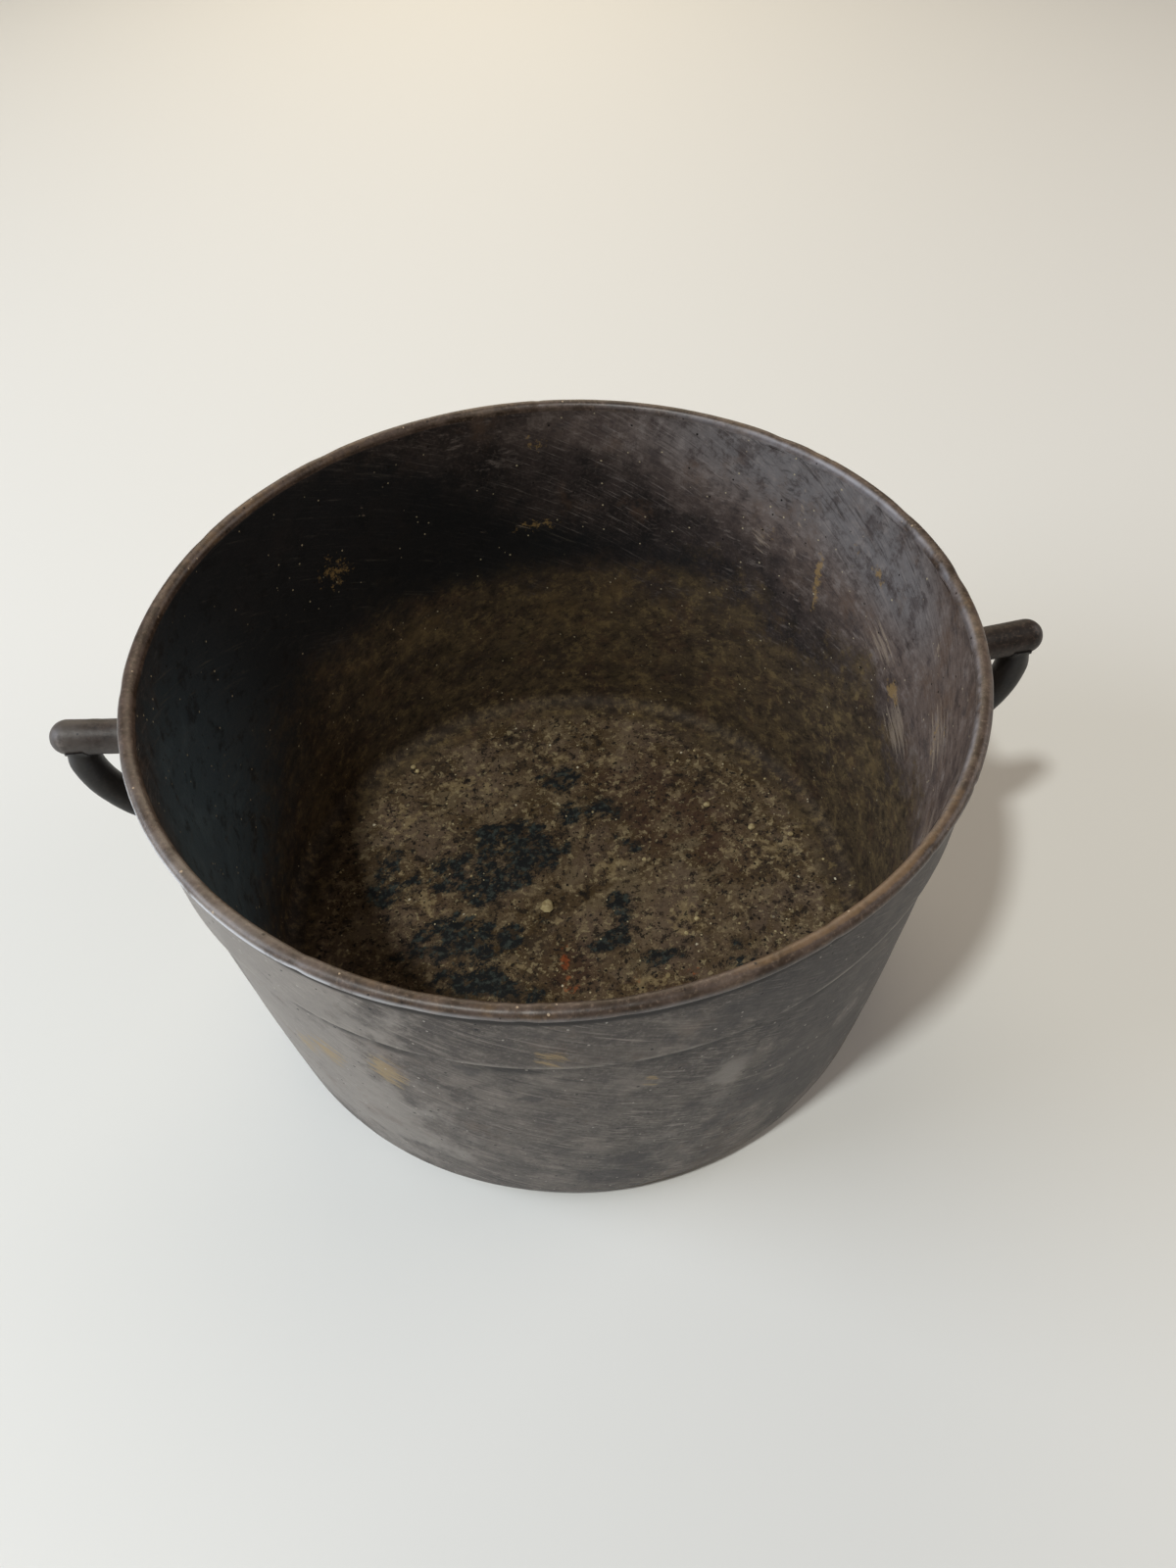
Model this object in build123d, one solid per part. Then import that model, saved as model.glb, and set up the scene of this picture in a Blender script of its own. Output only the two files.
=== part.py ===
from build123d import *
import os
from math import cos, radians, sin

# Cast iron dutch oven: a round, flat-bottomed pot poured as one iron casting, open at the top.
# A raised band runs round the outside under a small rolled lip, and two bail ears stand out at
# opposite sides: a round bar above, and a curved strut below that closes the ear into an eye.
# Millimetres. Origin at the centre of the underside, +Z up, ears along +X and -X.
# The casting is divided into its features, which meet face to face.

# --- driving dimensions -------------------------------------------------------------------------

height = 176.0  # underside to the top of the lip
rim_radius = 152.4  # outside of the lip: a 12 inch pot
lip_width = 5.4  # radially, at the top
lip_depth = 4.2  # how far down the rolled lip reaches
lip_outer_rounding = 2.4
lip_under_rounding = 1.3
lip_inner_rounding = 2.2

band_top_radius = 150.8  # just under the lip
band_bottom_radius = 150.0  # at the band's lower edge
band_bottom_z = 138.7  # height of the band's lower edge
band_edge_rounding = 1.2

wall_top_radius = 148.2  # just under the band
wall_middle_radius = 143.9  # half way down, a little fuller than a straight cone
wall_foot_radius = 137.4  # where the wall's line meets the underside, before the heel is rounded
heel_rounding = 12.0  # outside corner between the wall and the underside

inside_middle_radius = 139.9  # inside of the wall, half way down
inside_foot_radius = 133.5  # inside of the wall at the floor
inside_rounding = 6.0  # inside corner between the wall and the floor
floor_thickness = 5.0
wall_curve_radius = 700.0  # the soft bend half way down the wall, inside and outside

ear_bar_diameter = 13.0
ear_bar_root_z = 145.9  # height of the bar's axis where it leaves the band
ear_bar_rise = 7.2  # degrees the bar rises outwards
ear_reach = 186.2  # from the pot's axis to the tip of the bar

strut_width = 14.0  # across the ear
strut_thickness = 12.4  # in the plane of the ear
strut_bend_radius = 40.0  # of the strut's centreline
strut_bend_x = 138.0  # centre of that bend
strut_bend_z = 138.6

# --- worked out from them -----------------------------------------------------------------------

rim_inner_radius = rim_radius - lip_width
lip_bottom_z = height - lip_depth
wall_middle_z = band_bottom_z / 2
floor_plate_radius = wall_foot_radius - heel_rounding
heel_top_z = heel_rounding + 1.0
bar_radius = ear_bar_diameter / 2
bar_direction = Vector(cos(radians(ear_bar_rise)), 0, sin(radians(ear_bar_rise)))
bar_root = Vector(band_bottom_radius, 0, ear_bar_root_z)
dome_centre = bar_root + bar_direction * ((ear_reach - bar_radius - bar_root.X) / bar_direction.X)


def pot_section():
    """Half section of the whole pot in the XZ plane, from the axis outwards."""
    corners = [
        ((0, 0), 0),
        ((wall_foot_radius, 0), heel_rounding),
        ((wall_middle_radius, wall_middle_z), wall_curve_radius),
        ((wall_top_radius, band_bottom_z), 0),
        ((band_bottom_radius, band_bottom_z), band_edge_rounding),
        ((band_top_radius, lip_bottom_z), 0),
        ((rim_radius, lip_bottom_z), lip_under_rounding),
        ((rim_radius, height), lip_outer_rounding),
        ((rim_inner_radius, height), lip_inner_rounding),
        ((inside_middle_radius, wall_middle_z), wall_curve_radius),
        ((inside_foot_radius, floor_thickness), inside_rounding),
        ((0, floor_thickness), 0),
    ]
    points = [point for point, _ in corners]
    outline = FilletPolyline(*points, radius=[rounding for _, rounding in corners], close=True)
    return Plane.XZ * make_face(outline)


def region(inner_radius, outer_radius, bottom_z, top_z):
    """A rectangle of the half section, to cut one ring of the pot out of it."""
    width, depth = outer_radius - inner_radius, top_z - bottom_z
    middle = (inner_radius + width / 2, bottom_z + depth / 2)
    return Plane.XZ * Pos(*middle) * Rectangle(width, depth)


def ring(section, inner_radius, outer_radius, bottom_z, top_z):
    """The part of the pot between two radii and two heights, as a solid of revolution."""
    return revolve(section & region(inner_radius, outer_radius, bottom_z, top_z), Axis.Z)


def pot_envelope(section):
    """The pot with its hollow filled, so that the ears can be trimmed to its outside."""
    hollow = region(0, rim_inner_radius, floor_thickness / 2, height)
    return revolve(section + hollow, Axis.Z)


def ear_bar(envelope):
    """The round bar of the +X ear, with a domed end, trimmed to the band."""
    start = bar_root - bar_direction * bar_radius * 2
    length = (dome_centre - start).length
    axis = Plane(origin=start, z_dir=bar_direction)
    bar = axis * Cylinder(bar_radius, length, align=(Align.CENTER, Align.CENTER, Align.MIN))
    return bar + Pos(*dome_centre) * Sphere(bar_radius) - envelope


def ear_strut(envelope, bar):
    """The curved strut of the +X ear: up into the bar's outer end, down and in to the wall."""
    outermost = (strut_bend_x + strut_bend_radius, strut_bend_z)
    rise = Line((outermost[0], dome_centre.Z - bar_radius / 2), outermost)
    bend = CenterArc((strut_bend_x, strut_bend_z), strut_bend_radius, 0, -90)
    route = Plane.XZ * Wire([rise.edge(), bend.edge()])
    profile = Plane(origin=route @ 0, x_dir=(0, 1, 0), z_dir=route % 0)
    strut = sweep(profile * Ellipse(strut_width / 2, strut_thickness / 2), path=route)
    return strut - envelope - bar


section = pot_section()
envelope = pot_envelope(section)
right_bar = ear_bar(envelope)
right_strut = ear_strut(envelope, right_bar)
half_turn = Rot(Z=180)

parts = {
    "floor_plate": ring(section, 0, floor_plate_radius, 0, floor_thickness),
    "heel_ring": ring(section, floor_plate_radius, rim_radius, 0, heel_top_z),
    "side_wall": ring(section, 0, rim_radius, heel_top_z, band_bottom_z),
    "rim_band": ring(section, 0, rim_radius, band_bottom_z, lip_bottom_z),
    "rim_lip": ring(section, 0, rim_radius, lip_bottom_z, height),
    "right_ear_bar": right_bar,
    "right_ear_strut": right_strut,
    "left_ear_bar": half_turn * right_bar,
    "left_ear_strut": half_turn * right_strut,
}

os.makedirs("parts", exist_ok=True)
for name, part in parts.items():
    export_step(part, f"parts/{name}.step")
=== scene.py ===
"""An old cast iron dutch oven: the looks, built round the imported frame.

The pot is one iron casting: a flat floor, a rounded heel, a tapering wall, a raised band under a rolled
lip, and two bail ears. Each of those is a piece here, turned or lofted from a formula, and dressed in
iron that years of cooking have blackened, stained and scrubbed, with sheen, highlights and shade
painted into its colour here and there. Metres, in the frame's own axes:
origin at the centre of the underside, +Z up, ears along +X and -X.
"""

from __future__ import annotations

import logging
import math
from dataclasses import dataclass, field
from enum import Enum, IntEnum
from functools import partial

import bpy
import numpy as np
from mathutils import Matrix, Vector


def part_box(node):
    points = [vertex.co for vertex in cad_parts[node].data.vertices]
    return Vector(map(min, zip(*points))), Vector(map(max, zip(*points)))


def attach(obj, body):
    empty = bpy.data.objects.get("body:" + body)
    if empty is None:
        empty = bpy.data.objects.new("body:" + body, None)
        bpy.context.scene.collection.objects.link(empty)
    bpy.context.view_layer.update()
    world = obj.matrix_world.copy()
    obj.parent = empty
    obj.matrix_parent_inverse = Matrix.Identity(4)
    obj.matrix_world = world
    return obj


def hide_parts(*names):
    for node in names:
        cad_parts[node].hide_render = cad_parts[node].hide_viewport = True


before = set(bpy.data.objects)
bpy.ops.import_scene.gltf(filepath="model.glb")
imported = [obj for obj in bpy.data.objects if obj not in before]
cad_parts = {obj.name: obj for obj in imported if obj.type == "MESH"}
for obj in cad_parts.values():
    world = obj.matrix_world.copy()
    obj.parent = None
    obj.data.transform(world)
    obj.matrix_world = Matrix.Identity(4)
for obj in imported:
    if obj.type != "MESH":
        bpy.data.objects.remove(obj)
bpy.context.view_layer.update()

LOG = logging.getLogger("dutch_oven")
MM = 0.001
Array = np.ndarray
Colour = tuple[float, float, float, float]
Socket = bpy.types.NodeSocket
Material = bpy.types.Material
Piece = bpy.types.Object

# Large odd numbers that scatter a lattice corner's place into a random-looking key.
HASH_AXES = np.array([73856093, 19349663, 83492791])
HASH_SEED = 2654435761
HASH_MIX = 1274126177
LAYER_FALL = 0.55


class Seed(IntEnum):
    """Which random pattern each noise uses, so that no two repeat each other."""

    WAVES = 11
    LUMPS = 23
    WALL_FILM = 41
    FLOOR_FILM = 43
    LIP_RUBBING = 61
    LIP_BROWN = 67
    CRUST = 71
    PITS = 83
    EAR_ROUGHNESS = 91
    EAR_RUBBING = 97


# --- numbers and noise ---------------------------------------------------------------------------


def linear(code: str) -> Colour:
    """Turns an sRGB hex colour into linear light.

    Args:
        code: Six hex digits after a hash sign.

    Returns:
        Linear red, green, blue and an alpha of 1.
    """
    shares = np.array([int(code[i : i + 2], 16) for i in (1, 3, 5)]) / 255
    light = np.where(shares <= 0.04045, shares / 12.92, ((shares + 0.055) / 1.055) ** 2.4)
    return (*light.tolist(), 1.0)


def per_metre(size_mm: float) -> float:
    """How many pattern cells of that size, in millimetres, go into a metre."""
    return 1000.0 / size_mm


def smooth_step(value: Array, low: float, high: float) -> Array:
    """Rises from 0 at low to 1 at high along 3t^2 - 2t^3."""
    t = np.clip((value - low) / (high - low), 0, 1)
    return t * t * (3 - 2 * t)


def lattice_noise(points: Array, wavelength: float, seed: int) -> Array:
    """Smooth value noise: a hashed random value at each corner of a cubic lattice, blended by 3t^2 - 2t^3.

    Args:
        points: Positions, (..., 3), in metres.
        wavelength: The lattice's pitch, in metres.
        seed: Picks another pattern.

    Returns:
        Noise from -1 to 1, shaped like points without its last axis.
    """
    scaled = points / wavelength
    cell = np.floor(scaled).astype(np.int64)
    t = scaled - cell
    t = t * t * (3 - 2 * t)
    total = np.zeros(points.shape[:-1])
    for corner in np.ndindex(2, 2, 2):
        key = (cell + np.array(corner)) @ HASH_AXES + seed * HASH_SEED
        key = (key ^ (key >> 13)) * HASH_MIX
        key = key ^ (key >> 16)
        value = (key & 0xFFFF) / 32767.5 - 1
        total += value * np.prod(np.where(np.array(corner) == 1, t, 1 - t), axis=-1)
    return total


def layered_noise(points: Array, wavelength: float, seed: int, layers: int = 3) -> Array:
    """Adds layers of lattice noise, each half as long as the one before and LAYER_FALL as high.

    Args:
        points: Positions, (..., 3), in metres.
        wavelength: The first layer's pitch, in metres.
        seed: Picks another pattern.
        layers: How many layers are added.

    Returns:
        Noise of about -1 to 1.
    """
    heights = LAYER_FALL ** np.arange(layers)
    waves = (lattice_noise(points, wavelength / 2**i, seed + i) for i in range(layers))
    return sum(height * wave for height, wave in zip(heights, waves)) / heights.sum()


# --- outlines, grids and meshes ------------------------------------------------------------------


ARC_STEP_DEG = 9
NEARLY_STRAIGHT = 1e-4


def rounded_path(corners: list[tuple[float, float, float]], step: float = 1.8 * MM) -> Array:
    """Straight runs joined by tangent arcs, as points close together.

    Each corner with a radius is cut back by radius * tan(turn / 2) on both sides and an arc of that
    radius, worked out from its centre, takes its place.

    Args:
        corners: (x, y, radius) of each corner in turn; the first and last have no arc.
        step: The longest gap between points on a straight run.

    Returns:
        Points, (n, 2), from the first corner to the last.
    """
    places = np.array([c[:2] for c in corners])
    knots = [places[:1]]
    for i in range(1, len(corners) - 1):
        radius = corners[i][2]
        to_last = places[i - 1] - places[i]
        to_next = places[i + 1] - places[i]
        to_last /= np.linalg.norm(to_last)
        to_next /= np.linalg.norm(to_next)
        half = math.acos(np.clip(to_last @ to_next, -1, 1)) / 2
        if radius == 0 or half > math.pi / 2 - NEARLY_STRAIGHT:
            knots.append(places[i : i + 1])
            continue
        bisector = (to_last + to_next) / np.linalg.norm(to_last + to_next)
        centre = places[i] + bisector * radius / math.sin(half)
        start, end = (places[i] + d * radius / math.tan(half) - centre for d in (to_last, to_next))
        sweep = math.pi - 2 * half
        count = max(4, int(math.degrees(sweep) / ARC_STEP_DEG))
        turn = np.linspace(0, 1, count + 1)[:, None]
        arc = (np.sin((1 - turn) * sweep) * start + np.sin(turn * sweep) * end) / math.sin(sweep)
        knots.append(centre + arc)
    knots.append(places[-1:])
    rough = np.vstack(knots)
    runs = [rough[:1]]
    for start, end in zip(rough[:-1], rough[1:]):
        count = max(1, math.ceil(np.linalg.norm(end - start) / step))
        runs.append(start + (end - start) * (np.arange(1, count + 1) / count)[:, None])
    return np.vstack(runs)


def outward_normals(path: Array) -> Array:
    """The unit normal on the right-hand side of travel at each point of a path, (n, 2).

    Args:
        path: Points, (n, 2), in order.

    Returns:
        The normals, (n, 2).
    """
    along = np.gradient(path, axis=0)
    along /= np.linalg.norm(along, axis=1)[:, None]
    return np.stack([along[:, 1], -along[:, 0]], axis=1)


def grid_quads(rows: int, columns: int, close_rows: bool) -> Array:
    """Quads over a grid of points whose columns join round, and whose rows may too.

    Args:
        rows: Rows of points.
        columns: Columns of points.
        close_rows: Whether the last row joins the first.

    Returns:
        Vertex numbers, (n, 4).
    """
    row = np.arange(rows if close_rows else rows - 1)[:, None]
    column = np.arange(columns)[None, :]
    row_after = (row + 1) % rows
    column_after = (column + 1) % columns
    corners = [(row, column), (row, column_after), (row_after, column_after), (row_after, column)]
    return np.stack([r * columns + c for r, c in corners], axis=-1).reshape(-1, 4)


def fan(pole: int, first: int, columns: int, flip: bool) -> Array:
    """Triangles from a pole to a ring of points.

    Args:
        pole: The pole's vertex number.
        first: The ring's first vertex number.
        columns: How many points the ring has.
        flip: Turns the triangles over.

    Returns:
        Vertex numbers, (columns, 3).
    """
    ring = first + np.arange(columns)
    after = first + (np.arange(columns) + 1) % columns
    triangles = np.stack([np.full(columns, pole), ring, after], axis=1)
    return triangles[:, ::-1] if flip else triangles


@dataclass
class Surface:
    """A closed surface as arrays: points, quads and triangles, and what is painted on the points."""

    points: Array
    quads: Array
    triangles: Array = field(default_factory=lambda: np.zeros((0, 3), int))
    paint: dict[str, Array] = field(default_factory=dict)
    quad_finish: Array | None = None
    triangle_finish: Array | None = None

    def volume(self) -> float:
        """The enclosed volume, positive where the faces point outwards.

        Returns:
            Cubic metres.
        """
        halves = [self.quads[:, [0, 1, 2]], self.quads[:, [0, 2, 3]], self.triangles]
        first, second, third = np.moveaxis(self.points[np.vstack(halves)], 1, 0)
        return float(np.einsum("ij,ij->i", first, np.cross(second, third)).sum() / 6)

    def to_object(self, name: str, sharp_deg: float = 38.0) -> Piece:
        """Makes the mesh, turned so that its faces point outwards, smooth but for its sharp edges.

        Args:
            name: The piece's name.
            sharp_deg: Edges that bend more than this stay sharp.

        Returns:
            The linked object, at the origin.
        """
        if self.volume() < 0:
            self.quads = self.quads[:, ::-1]
            self.triangles = self.triangles[:, ::-1]
        mesh = bpy.data.meshes.new(name)
        loops = np.concatenate([self.quads.ravel(), self.triangles.ravel()]).astype(np.int32)
        quad_starts = np.arange(len(self.quads)) * 4
        triangle_starts = len(self.quads) * 4 + np.arange(len(self.triangles)) * 3
        starts = np.concatenate([quad_starts, triangle_starts]).astype(np.int32)
        mesh.vertices.add(len(self.points))
        mesh.vertices.foreach_set("co", self.points.astype(np.float32).ravel())
        mesh.loops.add(len(loops))
        mesh.loops.foreach_set("vertex_index", loops)
        mesh.polygons.add(len(starts))
        mesh.polygons.foreach_set("loop_start", starts)
        finishes = [self.quad_finish, self.triangle_finish]
        counts = [len(self.quads), len(self.triangles)]
        finish = [np.zeros(n, int) if f is None else f for f, n in zip(finishes, counts)]
        mesh.polygons.foreach_set("material_index", np.concatenate(finish).astype(np.int32))
        mesh.update(calc_edges=True)
        mesh.validate()
        for label, values in self.paint.items():
            layer = mesh.attributes.new(label, "FLOAT", "POINT")
            layer.data.foreach_set("value", values.astype(np.float32).ravel())
        mesh.shade_smooth()
        mesh.set_sharp_from_angle(angle=math.radians(sharp_deg))
        made = bpy.data.objects.new(name, mesh)
        bpy.context.scene.collection.objects.link(made)
        return made


# --- sizes ---------------------------------------------------------------------------------------


@dataclass(frozen=True)
class PotSizes:
    """The pot's own sizes: those that its nodes' boxes give, and the walls between them."""

    rim_radius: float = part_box("rim_lip")[1].x
    height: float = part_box("rim_lip")[1].z
    lip_bottom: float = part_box("rim_lip")[0].z
    band_bottom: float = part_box("rim_band")[0].z
    band_radius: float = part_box("rim_band")[1].x
    wall_top_radius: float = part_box("side_wall")[1].x
    heel_top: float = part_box("heel_ring")[1].z
    floor_radius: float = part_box("floor_plate")[1].x
    floor_top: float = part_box("floor_plate")[1].z
    lip_width: float = 5.4 * MM
    lip_outer_rounding: float = 2.6 * MM
    lip_inner_rounding: float = 2.5 * MM
    lip_lower_rounding: float = 1.4 * MM
    lip_inside_depth: float = 2.6 * MM
    lip_seat: float = 0.1 * MM
    lip_foot_inset: float = 1.4 * MM
    lip_step: float = 0.9 * MM
    band_lean: float = 0.8 * MM
    band_lower_rounding: float = 1.5 * MM
    band_upper_rounding: float = 0.8 * MM
    band_foot_inset: float = 1.2 * MM
    band_top_inset: float = 1.6 * MM
    foot_radius: float = 137.4 * MM
    wall_belly: float = 1.1 * MM
    inside_foot_radius: float = 133.1 * MM
    inside_belly: float = 0.5 * MM
    heel_rounding: float = 12 * MM
    inside_rounding: float = 7 * MM

    def outside(self, z: Array) -> Array:
        """The wall's outer radius: a straight cone plus a belly of 4t(1-t), with t from foot to band.

        Args:
            z: Heights, in metres.

        Returns:
            The radius at each height.
        """
        t = np.asarray(z) / self.band_bottom
        cone = self.foot_radius + (self.wall_top_radius - self.foot_radius) * t
        return cone + self.wall_belly * 4 * t * (1 - t)

    def inside(self, z: Array) -> Array:
        """The wall's inner radius: a straight cone plus a belly of 4t(1-t), with t from floor to lip.

        Args:
            z: Heights, in metres.

        Returns:
            The radius at each height.
        """
        t = (np.asarray(z) - self.floor_top) / (self.height - self.floor_top)
        top = self.rim_radius - self.lip_width
        cone = self.inside_foot_radius + (top - self.inside_foot_radius) * t
        return cone + self.inside_belly * 4 * t * (1 - t)


POT = PotSizes()


def unevenness(points: Array) -> Array:
    """How far the cast skin stands off its true shape, in metres: slow waves, and the sand's own lumps.

    Args:
        points: Positions, (..., 3), in metres.

    Returns:
        Metres, shaped like points without its last axis.
    """
    waves = 0.22 * MM * layered_noise(points, 42 * MM, Seed.WAVES, 2)
    lumps = 0.07 * MM * layered_noise(points, 9 * MM, Seed.LUMPS, 3)
    return waves + lumps


# --- marks that use has left, and painted sheen, highlights and shade ----------------------------


@dataclass(frozen=True)
class Mark:
    """A soft-edged mark on a wall or the floor.

    On a wall, at is (degrees round the pot, millimetres up) and reach is millimetres round and up.
    On the floor, at is millimetres along X and Y, and reach the same; lean turns it, in degrees.
    """

    at: tuple[float, float]
    reach: tuple[float, float]
    strength: float = 1.0
    lean: float = 0.0

    def bell(self, du: Array, dv: Array) -> Array:
        """strength * exp(-(u/a)^2 - (v/b)^2), with u and v turned by the lean.

        Args:
            du: How far round or along X from the mark's middle, in metres.
            dv: How far up or along Y from it, in metres.

        Returns:
            The strength at each place.
        """
        lean = math.radians(self.lean)
        u = (du * math.cos(lean) + dv * math.sin(lean)) / (self.reach[0] * MM)
        v = (dv * math.cos(lean) - du * math.sin(lean)) / (self.reach[1] * MM)
        return self.strength * np.exp(-(u**2) - v**2)

    def on_wall(self, points: Array) -> Array:
        """The mark's strength at points on a wall, measured round the pot and up it.

        Args:
            points: Positions, (..., 3), in metres.

        Returns:
            The strength at each point.
        """
        turn = np.arctan2(points[..., 1], points[..., 0]) - math.radians(self.at[0])
        turn = (turn + math.pi) % (2 * math.pi) - math.pi
        return self.bell(turn * axis_distance(points), points[..., 2] - self.at[1] * MM)

    def on_floor(self, points: Array) -> Array:
        """The mark's strength at points on the floor, measured along X and Y."""
        return self.bell(points[..., 0] - self.at[0] * MM, points[..., 1] - self.at[1] * MM)


def axis_distance(points: Array) -> Array:
    """How far each point is from the pot's axis."""
    return np.hypot(points[..., 0], points[..., 1])


def wall_marks(points: Array, marks: list[Mark]) -> Array:
    """All of a wall's marks together, no more than 1.

    Args:
        points: Positions, (..., 3), in metres.
        marks: The marks, or none.

    Returns:
        Their strength at each point, 0 to 1.
    """
    total = sum((mark.on_wall(points) for mark in marks), np.zeros(points.shape[:-1]))
    return np.clip(total, 0, 1)


def floor_marks(points: Array, marks: list[Mark]) -> Array:
    """All of the floor's marks together, no more than 1."""
    return np.clip(sum(mark.on_floor(points) for mark in marks), 0, 1)


OUTSIDE_OCHRE = [
    Mark((241, 112), (7, 12), 0.9),
    Mark((231, 102), (7, 11), 0.7),
    Mark((226, 91), (6, 9), 0.6),
    Mark((264, 147), (6, 7), 0.7),
    Mark((275, 116), (4, 8), 0.35),
    Mark((64, 118), (12, 18), 0.6),
    Mark((118, 84), (9, 20), 0.5),
    Mark((150, 126), (7, 9), 0.6),
]
# Dark stains, and painted shade: the wide marks round 300 to 320 degrees darken the front right, turned from
# the light.
OUTSIDE_DARK_AND_SHADE = [
    Mark((260, 112), (5, 3), 0.9),
    Mark((268, 30), (26, 22), 0.55),
    Mark((302, 62), (24, 46), 0.6),
    Mark((308, 152), (80, 30), 1.1),
    Mark((318, 80), (80, 70), 1.0),
    Mark((252, 128), (10, 5), 0.5),
    Mark((30, 60), (40, 40), 0.5),
    Mark((95, 40), (50, 26), 0.5),
    Mark((170, 70), (30, 50), 0.5),
]
# Rubbed iron, and a painted sheen: the wide marks round 200 to 230 degrees lighten the left side and the
# band's left, which face the light.
OUTSIDE_PALE_AND_SHEEN = [
    Mark((286, 102), (9, 20), 0.7),
    Mark((308, 95), (10, 22), 0.5),
    Mark((228, 76), (48, 66), 1.0),
    Mark((200, 90), (50, 70), 0.6),
    Mark((220, 155), (56, 26), 1.15),
    Mark((236, 50), (22, 16), 0.5),
    Mark((278, 70), (18, 14), 0.35),
    Mark((75, 90), (30, 20), 0.4),
    Mark((135, 50), (24, 18), 0.4),
]
INSIDE_OCHRE = [
    Mark((32, 127), (2.2, 9), 1.0),
    Mark((31.4, 112), (1.6, 7), 0.9),
    Mark((19, 146), (5, 4), 0.8, 30),
    Mark((25, 148), (3, 3), 0.7),
    Mark((7, 107), (6, 5), 1.0),
    Mark((-10, 128), (2, 16), 0.5, -24),
    Mark((-13, 139), (6, 3), 0.6, 20),
    Mark((129, 124), (10, 10), 0.6),
    Mark((88, 158), (6, 5), 0.5),
    Mark((89, 115), (14, 3), 0.7),
    Mark((44, 132), (8, 5), 0.4),
    Mark((262, 120), (14, 20), 0.5),
    Mark((300, 84), (14, 16), 0.5),
]
INSIDE_SOOT = [
    Mark((182, 95), (105, 80), 1.0),
    Mark((150, 150), (60, 40), 0.8),
    Mark((126, 136), (56, 34), 1.0),
    Mark((98, 101), (66, 17), 0.8),
    Mark((104, 128), (50, 20), 0.45),
    Mark((62, 102), (50, 12), 0.4),
    Mark((226, 110), (60, 70), 0.6),
]
# A painted sheen over the upper right of the inner wall, where the light falls.
INSIDE_PAINTED_SHEEN = [
    Mark((45, 156), (60, 26), 0.95),
    Mark((14, 140), (60, 40), 0.95),
    Mark((-22, 130), (60, 52), 0.9),
    Mark((75, 166), (50, 12), 0.55),
    Mark((-62, 130), (70, 44), 0.6),
]
# A bluer painted sheen near the lip at the back right, and a painted blue-grey reflection over the shaded
# left wall.
INSIDE_BLUE_SHEEN = [
    Mark((42, 168), (70, 26), 1.0),
    Mark((15, 150), (40, 22), 0.8),
    Mark((192, 90), (90, 90), 1.0),
]
INSIDE_SCRATCHES = [
    Mark((37.7, 140), (0.9, 22), 0.9),
    Mark((-1, 150), (0.9, 12), 0.9),
    Mark((121, 144), (1.0, 22), 0.4, 4),
    Mark((45, 128), (6, 8), 0.6),
    Mark((14, 118), (12, 11), 0.6),
    Mark((-12, 130), (14, 16), 0.6),
    Mark((2, 98), (14, 12), 0.65),
    Mark((-26, 116), (14, 14), 0.55),
    Mark((88, 115), (40, 1.2), 0.5),
]
FLOOR_CHAR = [
    Mark((-24, 30), (20, 13), 0.9, 15),
    Mark((-12, 27), (8, 6), 0.5),
    Mark((-40, 11), (9, 7), 0.7, 35),
    Mark((-57, 24), (13, 10), 0.42),
    Mark((-57, -12), (14, 10), 0.75, 20),
    Mark((-78, -19), (15, 8), 0.6, 10),
    Mark((-40, -18), (14, 8), 0.5),
    Mark((-47, -37), (18, 7), 0.95, -12),
    Mark((-27, -47), (10, 4), 0.9, -20),
    Mark((-1, 76), (12, 7), 0.62, 10),
    Mark((-30, 49), (14, 6), 0.5),
    Mark((23, 54), (14, 6), 0.6, -20),
    Mark((4, 52), (12, 6), 0.4),
    Mark((28, 31), (9, 4), 0.55, -25),
    Mark((22, -5), (6, 7), 0.7),
    Mark((15, -23), (13, 4), 0.85, 14),
    Mark((35, -35), (10, 3.5), 0.85, 5),
    Mark((71, -37), (8, 6), 0.7),
    Mark((-31, -12), (5, 4), 0.7),
    Mark((-12, -8), (4, 3), 0.5),
    Mark((60, -62), (20, 8), 0.6, 30),
    Mark((-20, -70), (34, 10), 0.7, 8),
    Mark((24, -84), (22, 9), 0.5),
    Mark((-86, 22), (14, 26), 0.3),
]
FLOOR_ORANGE = [
    Mark((-7, -30), (2.5, 9), 0.75),
    Mark((-5, -45), (4, 4), 0.5),
    Mark((22, -45), (4, 3), 0.5),
    Mark((50, -45), (5, 3), 0.5),
    Mark((20, -66), (9, 5), 0.4),
]
FLOOR_RUST = [
    Mark((50, 44), (26, 30), 0.8, 20),
    Mark((76, 22), (18, 26), 0.6),
    Mark((-66, 8), (8, 12), 0.5),
    Mark((-5, -36), (14, 18), 0.8),
    Mark((38, -48), (24, 10), 0.7),
    Mark((30, 78), (30, 14), 0.5),
]
FLOOR_TAN = [
    Mark((-47, 80), (14, 7), 0.75),
    Mark((-78, 62), (14, 12), 0.6),
    Mark((-78, 22), (10, 16), 0.4),
    Mark((-67, 8), (7, 9), 0.6),
    Mark((22, 20), (11, 8), 0.7),
    Mark((50, -16), (9, 11), 0.8),
    Mark((-22, 18), (8, 5), 0.35),
    Mark((5, 88), (14, 7), 0.5),
    Mark((98, 18), (26, 18), 0.55),
    Mark((-34, 66), (22, 8), 0.45),
    Mark((-30, -30), (12, 5), 0.5),
    Mark((-10, -12), (12, 8), 0.3),
    Mark((30, -48), (22, 8), 0.6),
    Mark((40, 84), (30, 12), 0.3),
]


class Skin(Enum):
    """Which side of the casting a face belongs to, as its place in the piece's finishes."""

    OUTSIDE = 0
    INSIDE = 1


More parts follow.
